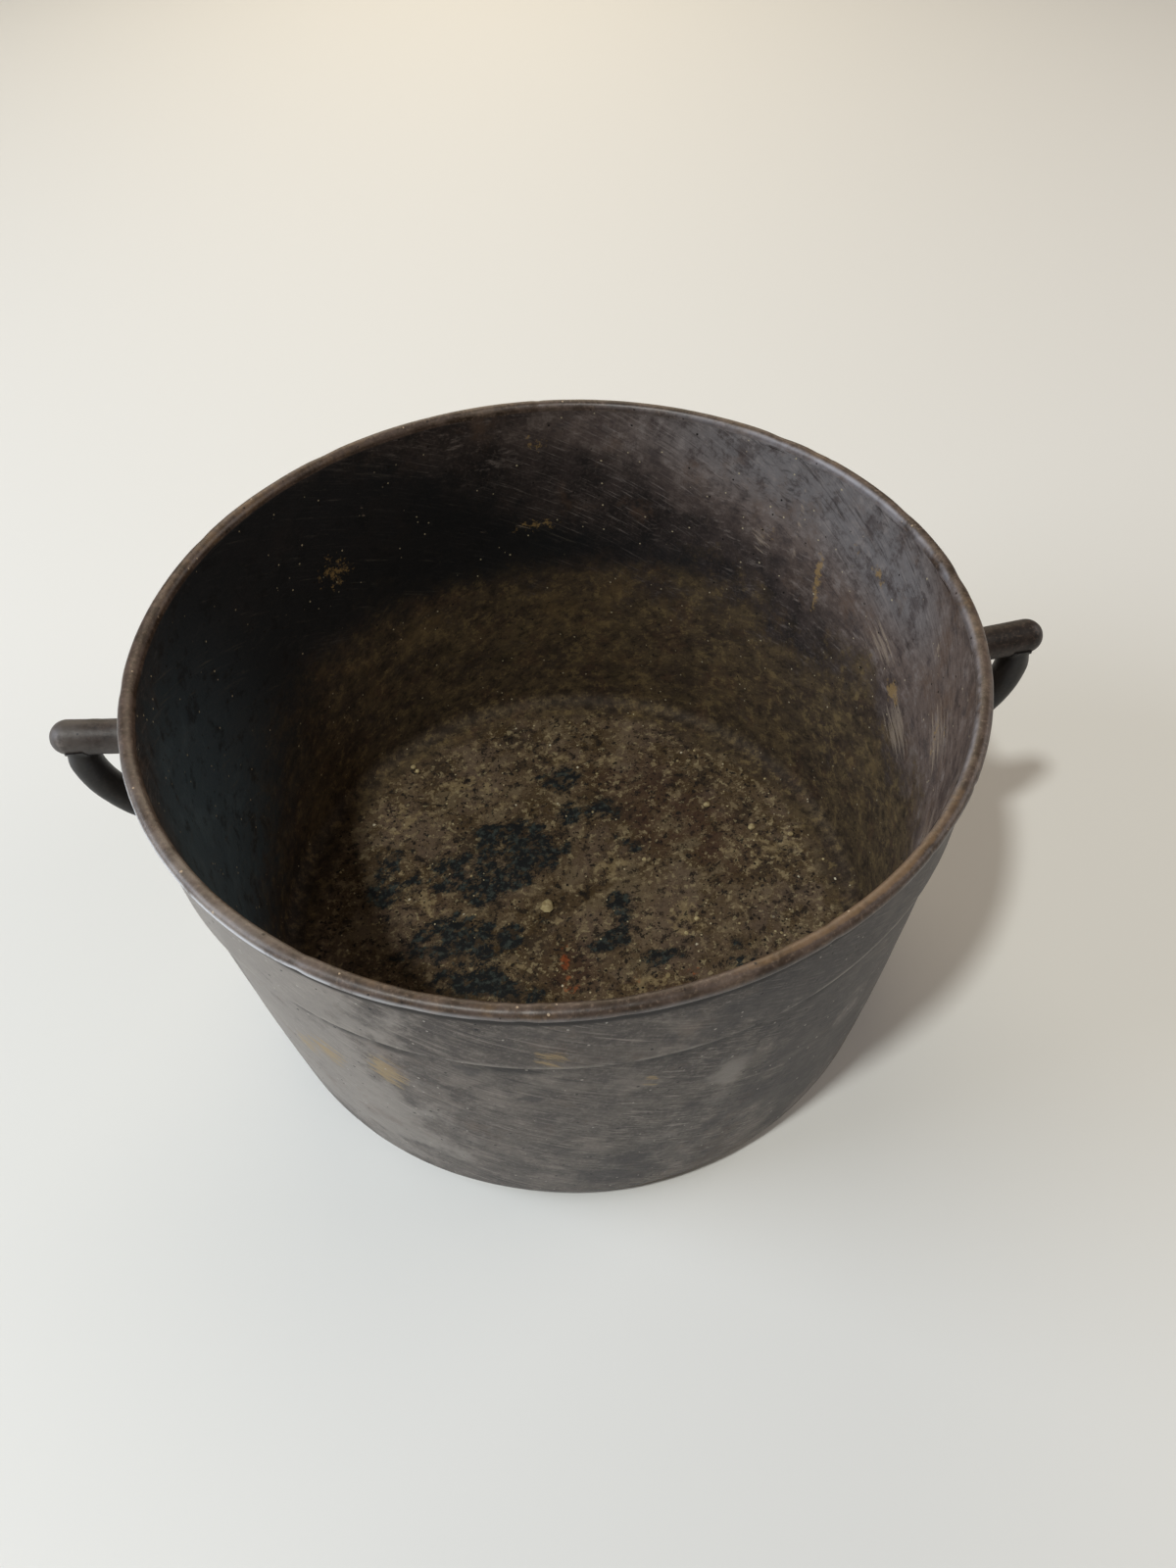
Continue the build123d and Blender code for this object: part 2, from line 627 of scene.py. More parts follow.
@dataclass
class PotPart:
    """One turned part of the pot: a closed outline carried round the axis.

    The outer run is followed upwards and the inner run downwards, so that the outline goes once round
    the iron; the two straight cuts between them are hidden against the next part.
    """

    name: str
    outer: Array
    inner: Array
    columns: int = 512
    film_full_below: float = 58 * MM
    film_none_above: float = 126 * MM
    film_ripple: float = 26 * MM
    film_ripple_pitch: float = 40 * MM
    rubbed_highlight_height: float = 1.2 * MM
    rubbed_highlight_width: float = 1.5 * MM
    rubbed_highlight_radii: tuple[float, float] = (149 * MM, 149.7 * MM)

    def outline(self) -> tuple[Array, Array, Array]:
        """The whole outline, the outward direction at each point, and each span's side of the pot.

        Returns:
            Points, (n, 2), directions, (n, 2), and the numbers of a Skin, (n,).
        """
        path = np.vstack([self.outer, self.inner])
        away = np.vstack([outward_normals(self.outer), outward_normals(self.inner)])
        side = np.repeat([Skin.OUTSIDE.value, Skin.INSIDE.value], [len(self.outer), len(self.inner)])
        return path, away, side

    def turned(self) -> Surface:
        """Carries the outline round: (r cos a, r sin a, z), pushed along its normal by the unevenness.

        Nothing goes below the ground that the pot stands on.

        Returns:
            The closed ring, with its use marks painted on.
        """
        path, away, side = self.outline()
        angle = np.arange(self.columns) * 2 * math.pi / self.columns
        out = np.stack([np.cos(angle), np.sin(angle), np.zeros_like(angle)], axis=-1)
        up = np.array([0.0, 0.0, 1.0])
        points = path[:, None, :1] * out + path[:, None, 1:] * up
        normals = away[:, None, :1] * out + away[:, None, 1:] * up
        points = points + normals * (unevenness(points) + self.dents(points))[..., None]
        points[..., 2] = np.maximum(points[..., 2], 0)
        quads = grid_quads(len(path), self.columns, close_rows=True)
        finish = np.repeat(side, self.columns)
        paint = {label: strength.ravel() for label, strength in self.paint(points, side).items()}
        return Surface(points.reshape(-1, 3), quads, paint=paint, quad_finish=finish)

    def dents(self, points: Array) -> Array:
        """Knocks in the iron, in metres: none but on the lip."""
        return np.zeros(points.shape[:-1])

    def paint(self, points: Array, side: Array) -> dict[str, Array]:
        """The strength of each kind of mark at each point, 0 to 1.

        Outside, ochre is stains; dark is stains, with painted shade over the front right; pale is rubbed
        iron, with a painted sheen over the left; and the band's rubbed lower edge carries a painted
        highlight.
        Inside, dark is soot, pale is a painted sheen, a bluer painted sheen and reflection lies over the
        upper right and the left wall, and film is old food.

        Args:
            points: The part's points, (rows, columns, 3).
            side: The side of the pot that each row is on.

        Returns:
            Arrays, (rows, columns), by name.
        """
        within = (side == Skin.INSIDE.value)[:, None]
        z = points[..., 2]
        ripple = self.film_ripple * layered_noise(points, self.film_ripple_pitch, Seed.WALL_FILM, 4)
        film = 1 - smooth_step(z + ripple, self.film_full_below, self.film_none_above)
        # The band's rubbed lower edge, with a painted highlight along it.
        off_edge = (z - POT.band_bottom - self.rubbed_highlight_height) / self.rubbed_highlight_width
        edge = np.exp(-(off_edge**2)) * smooth_step(axis_distance(points), *self.rubbed_highlight_radii)
        both_sides = {
            label: np.where(within, wall_marks(points, inside), wall_marks(points, outside))
            for label, (inside, outside) in {
                "ochre": (INSIDE_OCHRE, OUTSIDE_OCHRE),
                "dark": (INSIDE_SOOT, OUTSIDE_DARK_AND_SHADE),
                "pale": (INSIDE_PAINTED_SHEEN, OUTSIDE_PALE_AND_SHEEN),
                "steel": (INSIDE_BLUE_SHEEN, []),
                "scratch": (INSIDE_SCRATCHES, []),
            }.items()
        }
        return both_sides | {"film": np.where(within, film, 0.0), "wear": np.where(within, 0.0, edge)}


# Where a painted highlight lies on the lip's rubbed edges: the outer edge at the left front, the inner bevel
# at the back right.
LIP_HIGHLIGHT_LEFT_FRONT = Mark((218, 174), (95, 30))
LIP_HIGHLIGHT_BACK_RIGHT = [Mark((28, 174), (105, 30)), Mark((330, 174), (50, 30), 0.6)]
LIP_TAN = [Mark((302, 174), (60, 30)), Mark((150, 174), (60, 30), 0.5)]


@dataclass
class LipPart(PotPart):
    """The rolled lip, knocked here and there, browned along its top, and rubbed bright along two edges that
    carry a painted highlight.

    The outer edge is rubbed and highlighted most at the left front, and the inner bevel at the back right.
    """

    knocks: int = 26
    seed: int = 7
    outer_edge: tuple[float, float] = (1.2 * MM, 0.3 * MM)
    outer_line_height: float = 1.9 * MM
    outer_line_width: float = 0.9 * MM
    bevel_inset: float = 0.5 * MM
    bevel_width: float = 0.8 * MM
    tan_across: tuple[float, float] = (1.0 * MM, 2.6 * MM)

    def dents(self, points: Array) -> Array:
        """Knocks: -depth * exp(-(arc / width)^2) at seeded places round the lip.

        Args:
            points: Positions, (..., 3), in metres.

        Returns:
            Metres, below 0 where the lip is knocked in.
        """
        chance = np.random.default_rng(self.seed)
        turn = np.arctan2(points[..., 1], points[..., 0])
        total = np.zeros(points.shape[:-1])
        for _ in range(self.knocks):
            middle, width, depth = chance.uniform((-math.pi, 0.008, 0.05), (math.pi, 0.035, 0.32))
            off = (turn - middle + math.pi) % (2 * math.pi) - math.pi
            total -= depth * MM * np.exp(-((off / width) ** 2))
        return total

    def paint(self, points: Array, side: Array) -> dict[str, Array]:
        """Adds the rubbed outer edge and the rubbed inner bevel, each with a painted highlight, and the brown
        and tan top to the pot's marks.

        Args:
            points: The lip's points, (rows, columns, 3).
            side: The side of the pot that each row is on.

        Returns:
            Arrays, (rows, columns), by name.
        """
        paint = super().paint(points, side)
        across = POT.rim_radius - axis_distance(points)
        outer = smooth_step(across, *self.outer_edge)
        off_line = (points[..., 2] - POT.lip_bottom - self.outer_line_height) / self.outer_line_width
        patchy = smooth_step(layered_noise(points, 26 * MM, Seed.LIP_RUBBING, 3), -0.5, 0.5)
        # The outer edge's wear carries a painted highlight, strongest at the left front.
        rubbed = np.clip(0.3 * patchy + LIP_HIGHLIGHT_LEFT_FRONT.on_wall(points), 0, 1)
        paint["wear"] = outer * np.exp(-(off_line**2)) * rubbed
        tan = wall_marks(points, LIP_TAN) * smooth_step(across, *self.tan_across)
        brown = 0.45 * smooth_step(layered_noise(points, 30 * MM, Seed.LIP_BROWN, 3), -0.1, 0.6)
        within = (side == Skin.INSIDE.value)[:, None]
        paint["ochre"] = np.where(within, paint["ochre"], np.clip(tan + brown, 0, 1))
        # The inner bevel's rubbed line carries a painted highlight at the back right.
        off_bevel = (across - POT.lip_width + self.bevel_inset) / self.bevel_width
        paint["bevel"] = np.exp(-(off_bevel**2)) * wall_marks(points, LIP_HIGHLIGHT_BACK_RIGHT)
        return paint


@dataclass
class FloorPart:
    """The floor: a disc with a scorched, rusted top and a plain underside."""

    name: str = "floor_plate"
    columns: int = 384
    ring_step: float = 1.6 * MM
    under_rings: int = 23
    crust_height: float = 0.35 * MM
    pit_depth: float = 0.12 * MM
    film_edge: tuple[float, float] = (112 * MM, 127 * MM)

    def turned(self) -> Surface:
        """Rings of points from the middle of the top, over the edge, to the middle of the underside.

        The top is z = floor height + unevenness + scale, and the underside is flat.

        Returns:
            The closed disc, with its marks painted on.
        """
        count = math.ceil(POT.floor_radius / self.ring_step)
        top = np.linspace(0, POT.floor_radius, count + 1)[1:]
        under = np.linspace(POT.floor_radius, 0, self.under_rings + 1)[:-1]
        radius = np.concatenate([top, under])
        above = np.repeat([1.0, 0.0], [len(top), len(under)])
        angle = np.arange(self.columns) * 2 * math.pi / self.columns
        x, y = radius[:, None] * np.cos(angle), radius[:, None] * np.sin(angle)
        z = np.broadcast_to((above * POT.floor_top)[:, None], x.shape)
        points = np.stack([x, y, z], axis=-1)
        marks = self.paint(points)
        lift = unevenness(points) + self.scale(points, marks)
        points[..., 2] = z + above[:, None] * lift
        middle = np.array([0, 0, POT.floor_top])
        middle[2] += unevenness(middle)
        all_points = np.vstack([points.reshape(-1, 3), middle, [0, 0, 0]])
        quads = grid_quads(len(radius), self.columns, close_rows=False)
        pole = len(radius) * self.columns
        top_cap = fan(pole, 0, self.columns, flip=True)
        under_cap = fan(pole + 1, pole - self.columns, self.columns, flip=False)
        sides = [Skin.INSIDE.value, Skin.OUTSIDE.value]
        quad_side = np.repeat(np.repeat(sides, [len(top) - 1, len(under)]), self.columns)
        triangle_side = np.repeat(sides, self.columns)
        paint = {
            label: np.concatenate([strength.ravel(), strength[:1, 0], strength[-1:, 0]])
            for label, strength in marks.items()
        }
        triangles = np.vstack([top_cap, under_cap])
        return Surface(all_points, quads, triangles, paint, quad_side, triangle_side)

    def scale(self, points: Array, marks: dict[str, Array]) -> Array:
        """Baked-on char stands over the iron by the crust's height, and the iron is pitted here and there.

        Args:
            points: The floor's points, (rows, columns, 3).
            marks: What is painted on them, by name.

        Returns:
            Metres up, (rows, columns).
        """
        ragged = marks["char"] + 0.45 * layered_noise(points, 5 * MM, Seed.CRUST, 3)
        crust = smooth_step(ragged, 0.4, 0.6)
        pits = smooth_step(layered_noise(points, 4 * MM, Seed.PITS, 2), 0.25, 0.7)
        return self.crust_height * crust - self.pit_depth * pits

    def paint(self, points: Array) -> dict[str, Array]:
        """Char, rust, tan residue, orange rust and the film round the floor's edge, 0 to 1.

        Args:
            points: The floor's points, (rows, columns, 3).

        Returns:
            Arrays, (rows, columns), by name.
        """
        ripple = 5 * MM * layered_noise(points, 22 * MM, Seed.FLOOR_FILM, 3)
        return {
            "char": floor_marks(points, FLOOR_CHAR),
            "rust": floor_marks(points, FLOOR_RUST),
            "tan": floor_marks(points, FLOOR_TAN),
            "orange": floor_marks(points, FLOOR_ORANGE),
            "film": smooth_step(axis_distance(points) + ripple, *self.film_edge),
        }


@dataclass
class Pot:
    """The pot itself: floor, heel, wall, band and lip, each a turned part."""

    sizes: PotSizes = POT
    row_step: float = 1.9 * MM

    def runs(self) -> list[PotPart]:
        """The turned parts from the heel up, each with its outer and its inner run.

        Returns:
            The parts, ready to be turned.
        """
        pot = self.sizes
        heel_top_outer = (float(pot.outside(pot.heel_top)), pot.heel_top, 0)
        heel_top_inner = (float(pot.inside(pot.heel_top)), pot.heel_top, 0)
        heel_outer = [(pot.floor_radius, 0, 0), (pot.foot_radius, 0, pot.heel_rounding), heel_top_outer]
        heel_inner = [
            heel_top_inner,
            (pot.inside_foot_radius, pot.floor_top, pot.inside_rounding),
            (pot.floor_radius, pot.floor_top, 0),
        ]
        band_outer = [
            (pot.wall_top_radius - pot.band_foot_inset, pot.band_bottom, 0),
            (pot.band_radius - pot.band_lean, pot.band_bottom, pot.band_lower_rounding),
            (pot.band_radius, pot.lip_bottom, pot.band_upper_rounding),
            (pot.band_radius - pot.band_top_inset, pot.lip_bottom, 0),
        ]
        lip_inner = pot.rim_radius - pot.lip_width
        seat = pot.lip_bottom + pot.lip_seat
        lip_end = pot.height - pot.lip_inside_depth
        lip_outer = [
            (pot.band_radius - pot.lip_foot_inset, seat, 0),
            (pot.rim_radius, seat, pot.lip_lower_rounding),
            (pot.rim_radius, pot.height, pot.lip_outer_rounding),
            (lip_inner, pot.height, pot.lip_inner_rounding),
            (lip_inner, lip_end, 0),
        ]
        inside_band = self.wall_runs(pot.band_bottom, pot.lip_bottom)[1]
        inside_lip = self.wall_runs(pot.lip_bottom, lip_end)[1][1:]
        return [
            PotPart("heel_ring", rounded_path(heel_outer), rounded_path(heel_inner)),
            PotPart("side_wall", *self.wall_runs(pot.heel_top, pot.band_bottom)),
            PotPart("rim_band", rounded_path(band_outer), inside_band),
            LipPart("rim_lip", rounded_path(lip_outer, pot.lip_step), inside_lip, columns=900),
        ]

    def wall_runs(self, low: float, high: float) -> tuple[Array, Array]:
        """The wall's outer run going up and its inner run going down, between two heights.

        Args:
            low: The lower height.
            high: The upper height.

        Returns:
            The two runs, (n, 2) each.
        """
        up = np.linspace(low, high, max(3, math.ceil((high - low) / self.row_step)))
        outer = np.stack([self.sizes.outside(up), up], axis=1)
        inner = np.stack([self.sizes.inside(up[::-1]), up[::-1]], axis=1)
        return outer, inner

    def build(self, finishes: dict[str, Material]) -> list[Piece]:
        """Makes and dresses the pot's pieces.

        Args:
            finishes: The iron finishes, by name.

        Returns:
            The pieces, riding on the body.
        """
        pieces = []
        for part in self.runs():
            piece = part.turned().to_object(f"cast_{part.name}")
            outside = "lip" if part.name == "rim_lip" else "outside"
            dress(piece, part.name, [finishes[outside], finishes["inside"]])
            pieces.append(piece)
        floor = FloorPart()
        piece = floor.turned().to_object(f"cast_{floor.name}")
        dress(piece, floor.name, [finishes["outside"], finishes["floor"]])
        pieces.append(piece)
        return pieces


def dress(piece: Piece, node: str, materials: list[Material]) -> None:
    """Gives a piece its finishes and lets it stand for its node.

    Args:
        piece: The piece.
        node: The CAD node that it replaces.
        materials: Its finishes, in the order of its faces' numbers.
    """
    for material in materials:
        piece.data.materials.append(material)
    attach(piece, "root")
    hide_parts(node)


# --- ears ----------------------------------------------------------------------------------------


class Side(Enum):
    """Which side of the pot an ear is on, as the sign of X."""

    RIGHT = 1
    LEFT = -1


@dataclass
class BailEar:
    """A bail ear: a round bar with a domed end, and a strut that curves from under it to the wall."""

    side: Side
    bar_radius: float = 6.5 * MM
    bar_root_z: float = 145.9 * MM
    bar_rise_deg: float = 7.2
    reach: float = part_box("right_ear_bar")[1].x
    bend_centre: tuple[float, float] = (138 * MM, 138.6 * MM)
    bend_radius: float = 40 * MM
    strut_half_width: float = 6.8 * MM
    strut_half_depth: float = 6.1 * MM
    root_fillet: float = 4.0 * MM
    bar_fillet: float = 1.0 * MM
    bar_start: float = -3 * MM
    bar_rows: int = 44
    dome_rows: int = 16
    drop_rows: int = 11
    bend_rows: int = 60
    bend_deg: float = 80.0
    strut_top_inset: float = 2 * MM
    waist: float = 0.06
    tuck_share: float = 0.24
    tuck_length: float = 11 * MM
    tuck_shift: float = 2.5 * MM
    roughness: float = 0.16 * MM
    tip_highlight_length: float = 12 * MM
    columns: int = 72

    def bar_axis(self) -> tuple[Array, Array]:
        """The bar's root on the band and its unit direction, in the plane y = 0, for a right-hand ear.

        Returns:
            A place and a direction, (3,) each.
        """
        rise = math.radians(self.bar_rise_deg)
        root = np.array([POT.band_radius, 0, self.bar_root_z])
        return root, np.array([math.cos(rise), 0, math.sin(rise)])

    def swollen(self, distance: Array, fillet: float) -> Array:
        """A fillet's height at a distance from the face it meets: f - sqrt(f^2 - (f - d)^2) below f."""
        share = np.clip(1 - distance / fillet, 0, 1)
        return fillet * (1 - np.sqrt(1 - share**2))

    def lofted(self, centres: Array, across: Array, sizes: Array, fillet: Array) -> Array:
        """Points round a path: centre + (size + fillet) * (cos a * across + sin a * Y).

        Args:
            centres: The path, (rows, 3).
            across: The direction across the path in the ear's plane, (rows, 3).
            sizes: The half sizes across and along Y, (rows, 2).
            fillet: What the fillets add at each point, (rows, columns).

        Returns:
            The points, (rows, columns, 3).
        """
        angle = np.arange(self.columns) * 2 * math.pi / self.columns
        first = (sizes[:, :1] + fillet) * np.cos(angle)
        second = (sizes[:, 1:] + fillet) * np.sin(angle)
        y_axis = np.array([0.0, 1.0, 0.0])
        return centres[:, None] + first[..., None] * across[:, None] + second[..., None] * y_axis

    def closed(self, points: Array, start: Array, end: Array, shaded: float) -> Surface:
        """Closes a lofted skin with a pole at each end, roughens it and sets it on its side of the pot.

        The left bar is painted paler, as the lit one of the two, with a stronger rubbed and highlighted tip,
        and a piece in painted shade gets no rubbing or highlight.

        Args:
            points: The skin's points, (rows, columns, 3).
            start: The pole before the first row.
            end: The pole after the last row.
            shaded: How much painted shade blackens it, 0 to 1.

        Returns:
            The closed surface, with its wear painted on.
        """
        rows, columns = points.shape[:2]
        every = np.vstack([points.reshape(-1, 3), start, end])
        # The noise is read a metre to either side, so that the two ears aren't rough in the same places.
        noise = layered_noise(every + self.side.value, 7 * MM, Seed.EAR_ROUGHNESS, 3)
        outward = every - every.mean(axis=0)
        outward /= np.linalg.norm(outward, axis=1)[:, None]
        every = every + outward * (self.roughness * noise)[:, None]
        every[:, :2] *= self.side.value
        quads = grid_quads(rows, columns, close_rows=False)
        poles = rows * columns
        start_cap = fan(poles, 0, columns, flip=True)
        end_cap = fan(poles + 1, poles - columns, columns, flip=False)
        triangles = np.vstack([start_cap, end_cap])
        # The rubbed tips carry a painted highlight.
        tip = smooth_step(np.abs(every[:, 0]), self.reach - self.tip_highlight_length, self.reach)
        patchy = smooth_step(layered_noise(every, 9 * MM, Seed.EAR_RUBBING, 2), -0.2, 0.6)
        # shaded is painted shade: it blackens a strut and leaves it no rubbing or highlight.
        unshaded = 1 - shaded
        # The left bar is painted paler, as the lit one, and its tip's highlight is stronger.
        lit_left_bar = unshaded * float(self.side is Side.LEFT)
        paint = {
            "wear": tip * patchy * unshaded * (0.4 + 0.6 * lit_left_bar),
            "pale": np.full(len(every), lit_left_bar),
            "dark": np.full(len(every), shaded),
        }
        return Surface(every, quads, triangles, paint)

    def bar(self) -> Surface:
        """The bar: a round skin along its axis, swollen where it leaves the band, with a half-round dome.

        Returns:
            The closed bar.
        """
        root, along = self.bar_axis()
        dome_at = (self.reach - self.bar_radius - root[0]) / along[0]
        straight = np.linspace(self.bar_start, dome_at, self.bar_rows)
        turn = np.linspace(0, math.pi / 2, self.dome_rows + 2)[1:-1]
        stations = np.concatenate([straight, dome_at + self.bar_radius * np.sin(turn)])
        radii = self.bar_radius * np.concatenate([np.ones(self.bar_rows), np.cos(turn)])
        centres = root + stations[:, None] * along
        across = np.tile(np.array([-along[2], 0, along[0]]), (len(stations), 1))
        sizes = np.stack([radii, radii], axis=1)
        bare = self.lofted(centres, across, sizes, np.zeros((len(radii), self.columns)))
        gap = axis_distance(bare) - POT.band_radius
        skin = self.lofted(centres, across, sizes, self.swollen(gap, self.root_fillet))
        tip = root + (dome_at + self.bar_radius) * along
        return self.closed(skin, centres[0], tip, shaded=0.0)

    def strut(self) -> Surface:
        """The strut: down from inside the bar's outer end, round a bend and into the wall.

        It is slightly waisted, and its top is tucked in so that it stays within the bar's domed end.

        Returns:
            The closed strut, swollen where it meets the bar and the wall.
        """
        root, along = self.bar_axis()
        x, z = self.bend_centre
        outermost = x + self.bend_radius
        bar_z = root[2] + (outermost - root[0]) * along[2] / along[0]
        drop = np.linspace(bar_z - self.strut_top_inset, z, self.drop_rows + 1)[:-1]
        turn = np.linspace(0, math.radians(self.bend_deg), self.bend_rows)
        fallen = np.stack([np.full_like(drop, outermost), 0 * drop, drop], axis=1)
        bent_across = np.stack([np.cos(turn), 0 * turn, -np.sin(turn)], axis=1)
        bent = np.array([x, 0, z]) + self.bend_radius * bent_across
        centres = np.vstack([fallen, bent])
        across = np.vstack([np.tile([1.0, 0, 0], (len(drop), 1)), bent_across])
        share = np.linspace(0, 1, len(centres))[:, None]
        waisted = 1 - self.waist * np.sin(math.pi * share)
        thick = np.array([self.strut_half_depth, self.strut_half_width]) * waisted
        tuck = self.tuck_share * (1 - smooth_step(centres[0, 2] - centres[:, 2], 0, self.tuck_length))
        thick[:, 0] *= 1 - tuck
        centres[:, 0] -= tuck * self.tuck_shift
        bare = self.lofted(centres, across, thick, np.zeros((len(centres), self.columns)))
        wall_gap = axis_distance(bare) - POT.outside(bare[..., 2])
        from_root = bare - root
        beside = from_root - (from_root @ along)[..., None] * along
        bar_gap = np.linalg.norm(beside, axis=-1) - self.bar_radius
        fillet = self.swollen(wall_gap, self.root_fillet) + self.swollen(bar_gap, self.bar_fillet)
        skin = self.lofted(centres, across, thick, fillet)
        # The strut is painted black all over as shade.
        return self.closed(skin, centres[0], centres[-1], shaded=1.0)

    def build(self, finishes: dict[str, Material]) -> list[Piece]:
        """Makes and dresses the ear's bar and strut.

        Args:
            finishes: The iron finishes, by name.

        Returns:
            The two pieces.
        """
        side = self.side.name.lower()
        pieces = []
        for part, surface in (("bar", self.bar()), ("strut", self.strut())):
            piece = surface.to_object(f"cast_{side}_ear_{part}")
            dress(piece, f"{side}_ear_{part}", [finishes["ear"]])
            pieces.append(piece)
        return pieces


# --- crumbs --------------------------------------------------------------------------------------


@dataclass
class BakedCrumbs:
    """Crumbs baked onto the floor: small lumps, each a sphere pushed about by noise.

    The large ones are given as millimetres along X and Y and their radius; the small ones are seeded.
    """

    seed: int = 19
    large: tuple[tuple[float, float, float], ...] = (
        (-12, -1, 3.2),
        (-73, 95, 1.6),
        (-71, 92, 1.3),
        (73, 49, 1.6),
        (92, 32, 2.0),
        (56, -17, 1.3),
        (50, -24, 1.0),
        (38, -45, 1.3),
        (37, 20, 1.1),
        (110, 25, 1.4),
    )
    small_count: int = 70
    rows: int = 5
    columns: int = 9
    flatness: float = 0.6
    sunk: float = 0.35
    bumps: float = 0.35

    def lump(self, centre: Array, radius: float, seed: int) -> tuple[Array, Array, Array]:
        """One crumb: a sphere of radius * (1 + bumps * noise), flattened in height.

        Args:
            centre: Where it lies.
            radius: Its size.
            seed: Picks its shape.

        Returns:
            Its points, quads and triangles.
        """
        up = np.linspace(0, math.pi, self.rows + 2)[1:-1, None]
        turn = np.arange(self.columns) * 2 * math.pi / self.columns
        round_it = [np.sin(up) * np.cos(turn), np.sin(up) * np.sin(turn), np.cos(up) + 0 * turn]
        ball = np.vstack([np.stack(round_it, axis=-1).reshape(-1, 3), [0, 0, 1], [0, 0, -1]])
        bumpy = ball * (1 + self.bumps * layered_noise(ball + seed, 0.9, seed, 2))[:, None]
        poles = self.rows * self.columns
        top_cap = fan(poles, 0, self.columns, flip=True)
        under_cap = fan(poles + 1, poles - self.columns, self.columns, flip=False)
        points = centre + bumpy * radius * np.array([1, 1, self.flatness])
        return points, grid_quads(self.rows, self.columns, False), np.vstack([top_cap, under_cap])

    def surface(self) -> Surface:
        """All the crumbs as one surface.

        Returns:
            The surface.
        """
        chance = np.random.default_rng(self.seed)
        placed = [(x * MM, y * MM, radius * MM) for x, y, radius in self.large]
        for _ in range(self.small_count):
            turn, share, size = chance.uniform((0, 0.05, 0.25), (2 * math.pi, 0.97, 0.7))
            reach = POT.floor_radius * math.sqrt(share)
            placed.append((reach * math.cos(turn), reach * math.sin(turn), size * MM))
        lumps = [
            self.lump(np.array([x, y, POT.floor_top + self.sunk * radius]), radius, number)
            for number, (x, y, radius) in enumerate(placed)
        ]
        points, quads, triangles = zip(*lumps)
        first = np.arange(len(lumps)) * len(points[0])
        return Surface(
            np.vstack(points),
            np.vstack([faces + start for faces, start in zip(quads, first)]),
            np.vstack([faces + start for faces, start in zip(triangles, first)]),
        )

    def build(self, finishes: dict[str, Material]) -> Piece:
        """Makes and dresses the crumbs, which stand for no node.

        Args:
            finishes: The iron finishes, by name.

        Returns:
            The crumbs as one piece.
        """
        piece = self.surface().to_object("baked_crumbs", sharp_deg=60)
        piece.data.materials.append(finishes["crumb"])
        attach(piece, "root")
        return piece


# --- finishes ------------------------------------------------------------------------------------


def add_node(tree: bpy.types.NodeTree, kind: str, settings: dict, links: dict) -> bpy.types.Node:
    """Adds a node with its settings, values and links.

    Args:
        tree: The node tree.
        kind: The node's type, without the ShaderNode before it.
        settings: Its properties, by name.
        links: What goes into its inputs, by name or number: a value, or an output to link.

    Returns:
        The node.
    """
    node = tree.nodes.new("ShaderNode" + kind)
    for name, value in settings.items():
        setattr(node, name, value)
    for name, value in links.items():
        if isinstance(value, bpy.types.NodeSocket):
            tree.links.new(value, node.inputs[name])
        else:
            node.inputs[name].default_value = value
    return node


@dataclass(frozen=True)
class Pattern:
    """A noise pattern on the iron, in the pot's own directions.

    Its largest cells are size_mm across. It climbs round the pot by twist radians a metre, is turned
    about Z by turn_deg, and gets finer along X, Y and Z by squeeze, so that a squeeze below 1 draws
    it out into strokes.
    """

    size_mm: float
    detail: float = 6.0
    rough: float = 0.66
    twist: float = 0.0
    turn_deg: float = 0.0
    squeeze: tuple[float, float, float] = (1.0, 1.0, 1.0)


@dataclass(frozen=True)
class Ragged:
    """A painted mark with a ragged edge: mark + depth * (pattern - 0.5), and 0 where there is no mark."""

    mark: str
    pattern: Pattern
    depth: float


@dataclass(frozen=True)
class Height:
    """The height up the pot, in metres, with a pattern's raggedness added in millimetres."""

    pattern: Pattern
    ragged_mm: float = 0.0


@dataclass(frozen=True)
class Specks:
    """Small round specks: the middles of random cells, in the share of cells that chance picks."""

    size_mm: float
    share: float
    seed: float


Source = Pattern | Ragged | Height | Specks | str


@dataclass(frozen=True)
class Reach:
    """How far a layer reaches: a source eased from 0 at low to 1 at high. A bare name is a painted mark."""

    source: Source
    low: float = 0.0
    high: float = 1.0


@dataclass(frozen=True)
class Layer:
    """One thing laid over the iron: its colour covers amount * the product of its reaches.

    Where tone is given, the colour runs from colour, where tone is 0, to second, where it is 1.
    """

    colour: str
    reaches: tuple[Reach, ...]
    amount: float = 1.0
    second: str = ""
    tone: Reach | None = None


@dataclass(frozen=True)
class IronFinish:
    """One part's iron: the bare casting in two tones with a sand grain, then its layers, then its gloss.

    Its roughness rises by dulling where the source that it is dulled by is 1.
    """

    name: str
    deep: str
    middle: str
    light: str
    mottle: Pattern
    grain: Pattern
    layers: tuple[Layer, ...] = ()
    roughness: float = 0.55
    dulled_by: Source = ""
    dulling: float = 0.0
    gloss: float = 0.4
    bump_mm: float = 0.1


# The casting sand's grain is under half a millimetre. It is drawn at 1.3 mm, coarser than real, so that
# it shows. The specks of dust and pitting, half a millimetre at most, are drawn at about 1 mm likewise.
SAND = Pattern(1.3, 3, 0.6)

# CLOUD is a finger wide, and WIDE a hand: one kind of stroke keeps to its high places, the other to its low.
CLOUD = Pattern(15, 8, 0.66)
WIDE = Pattern(62, 3, 0.5)
PATCHY = Reach(WIDE, 0.38, 0.58)
ELSEWHERE = Reach(WIDE, 0.62, 0.4)


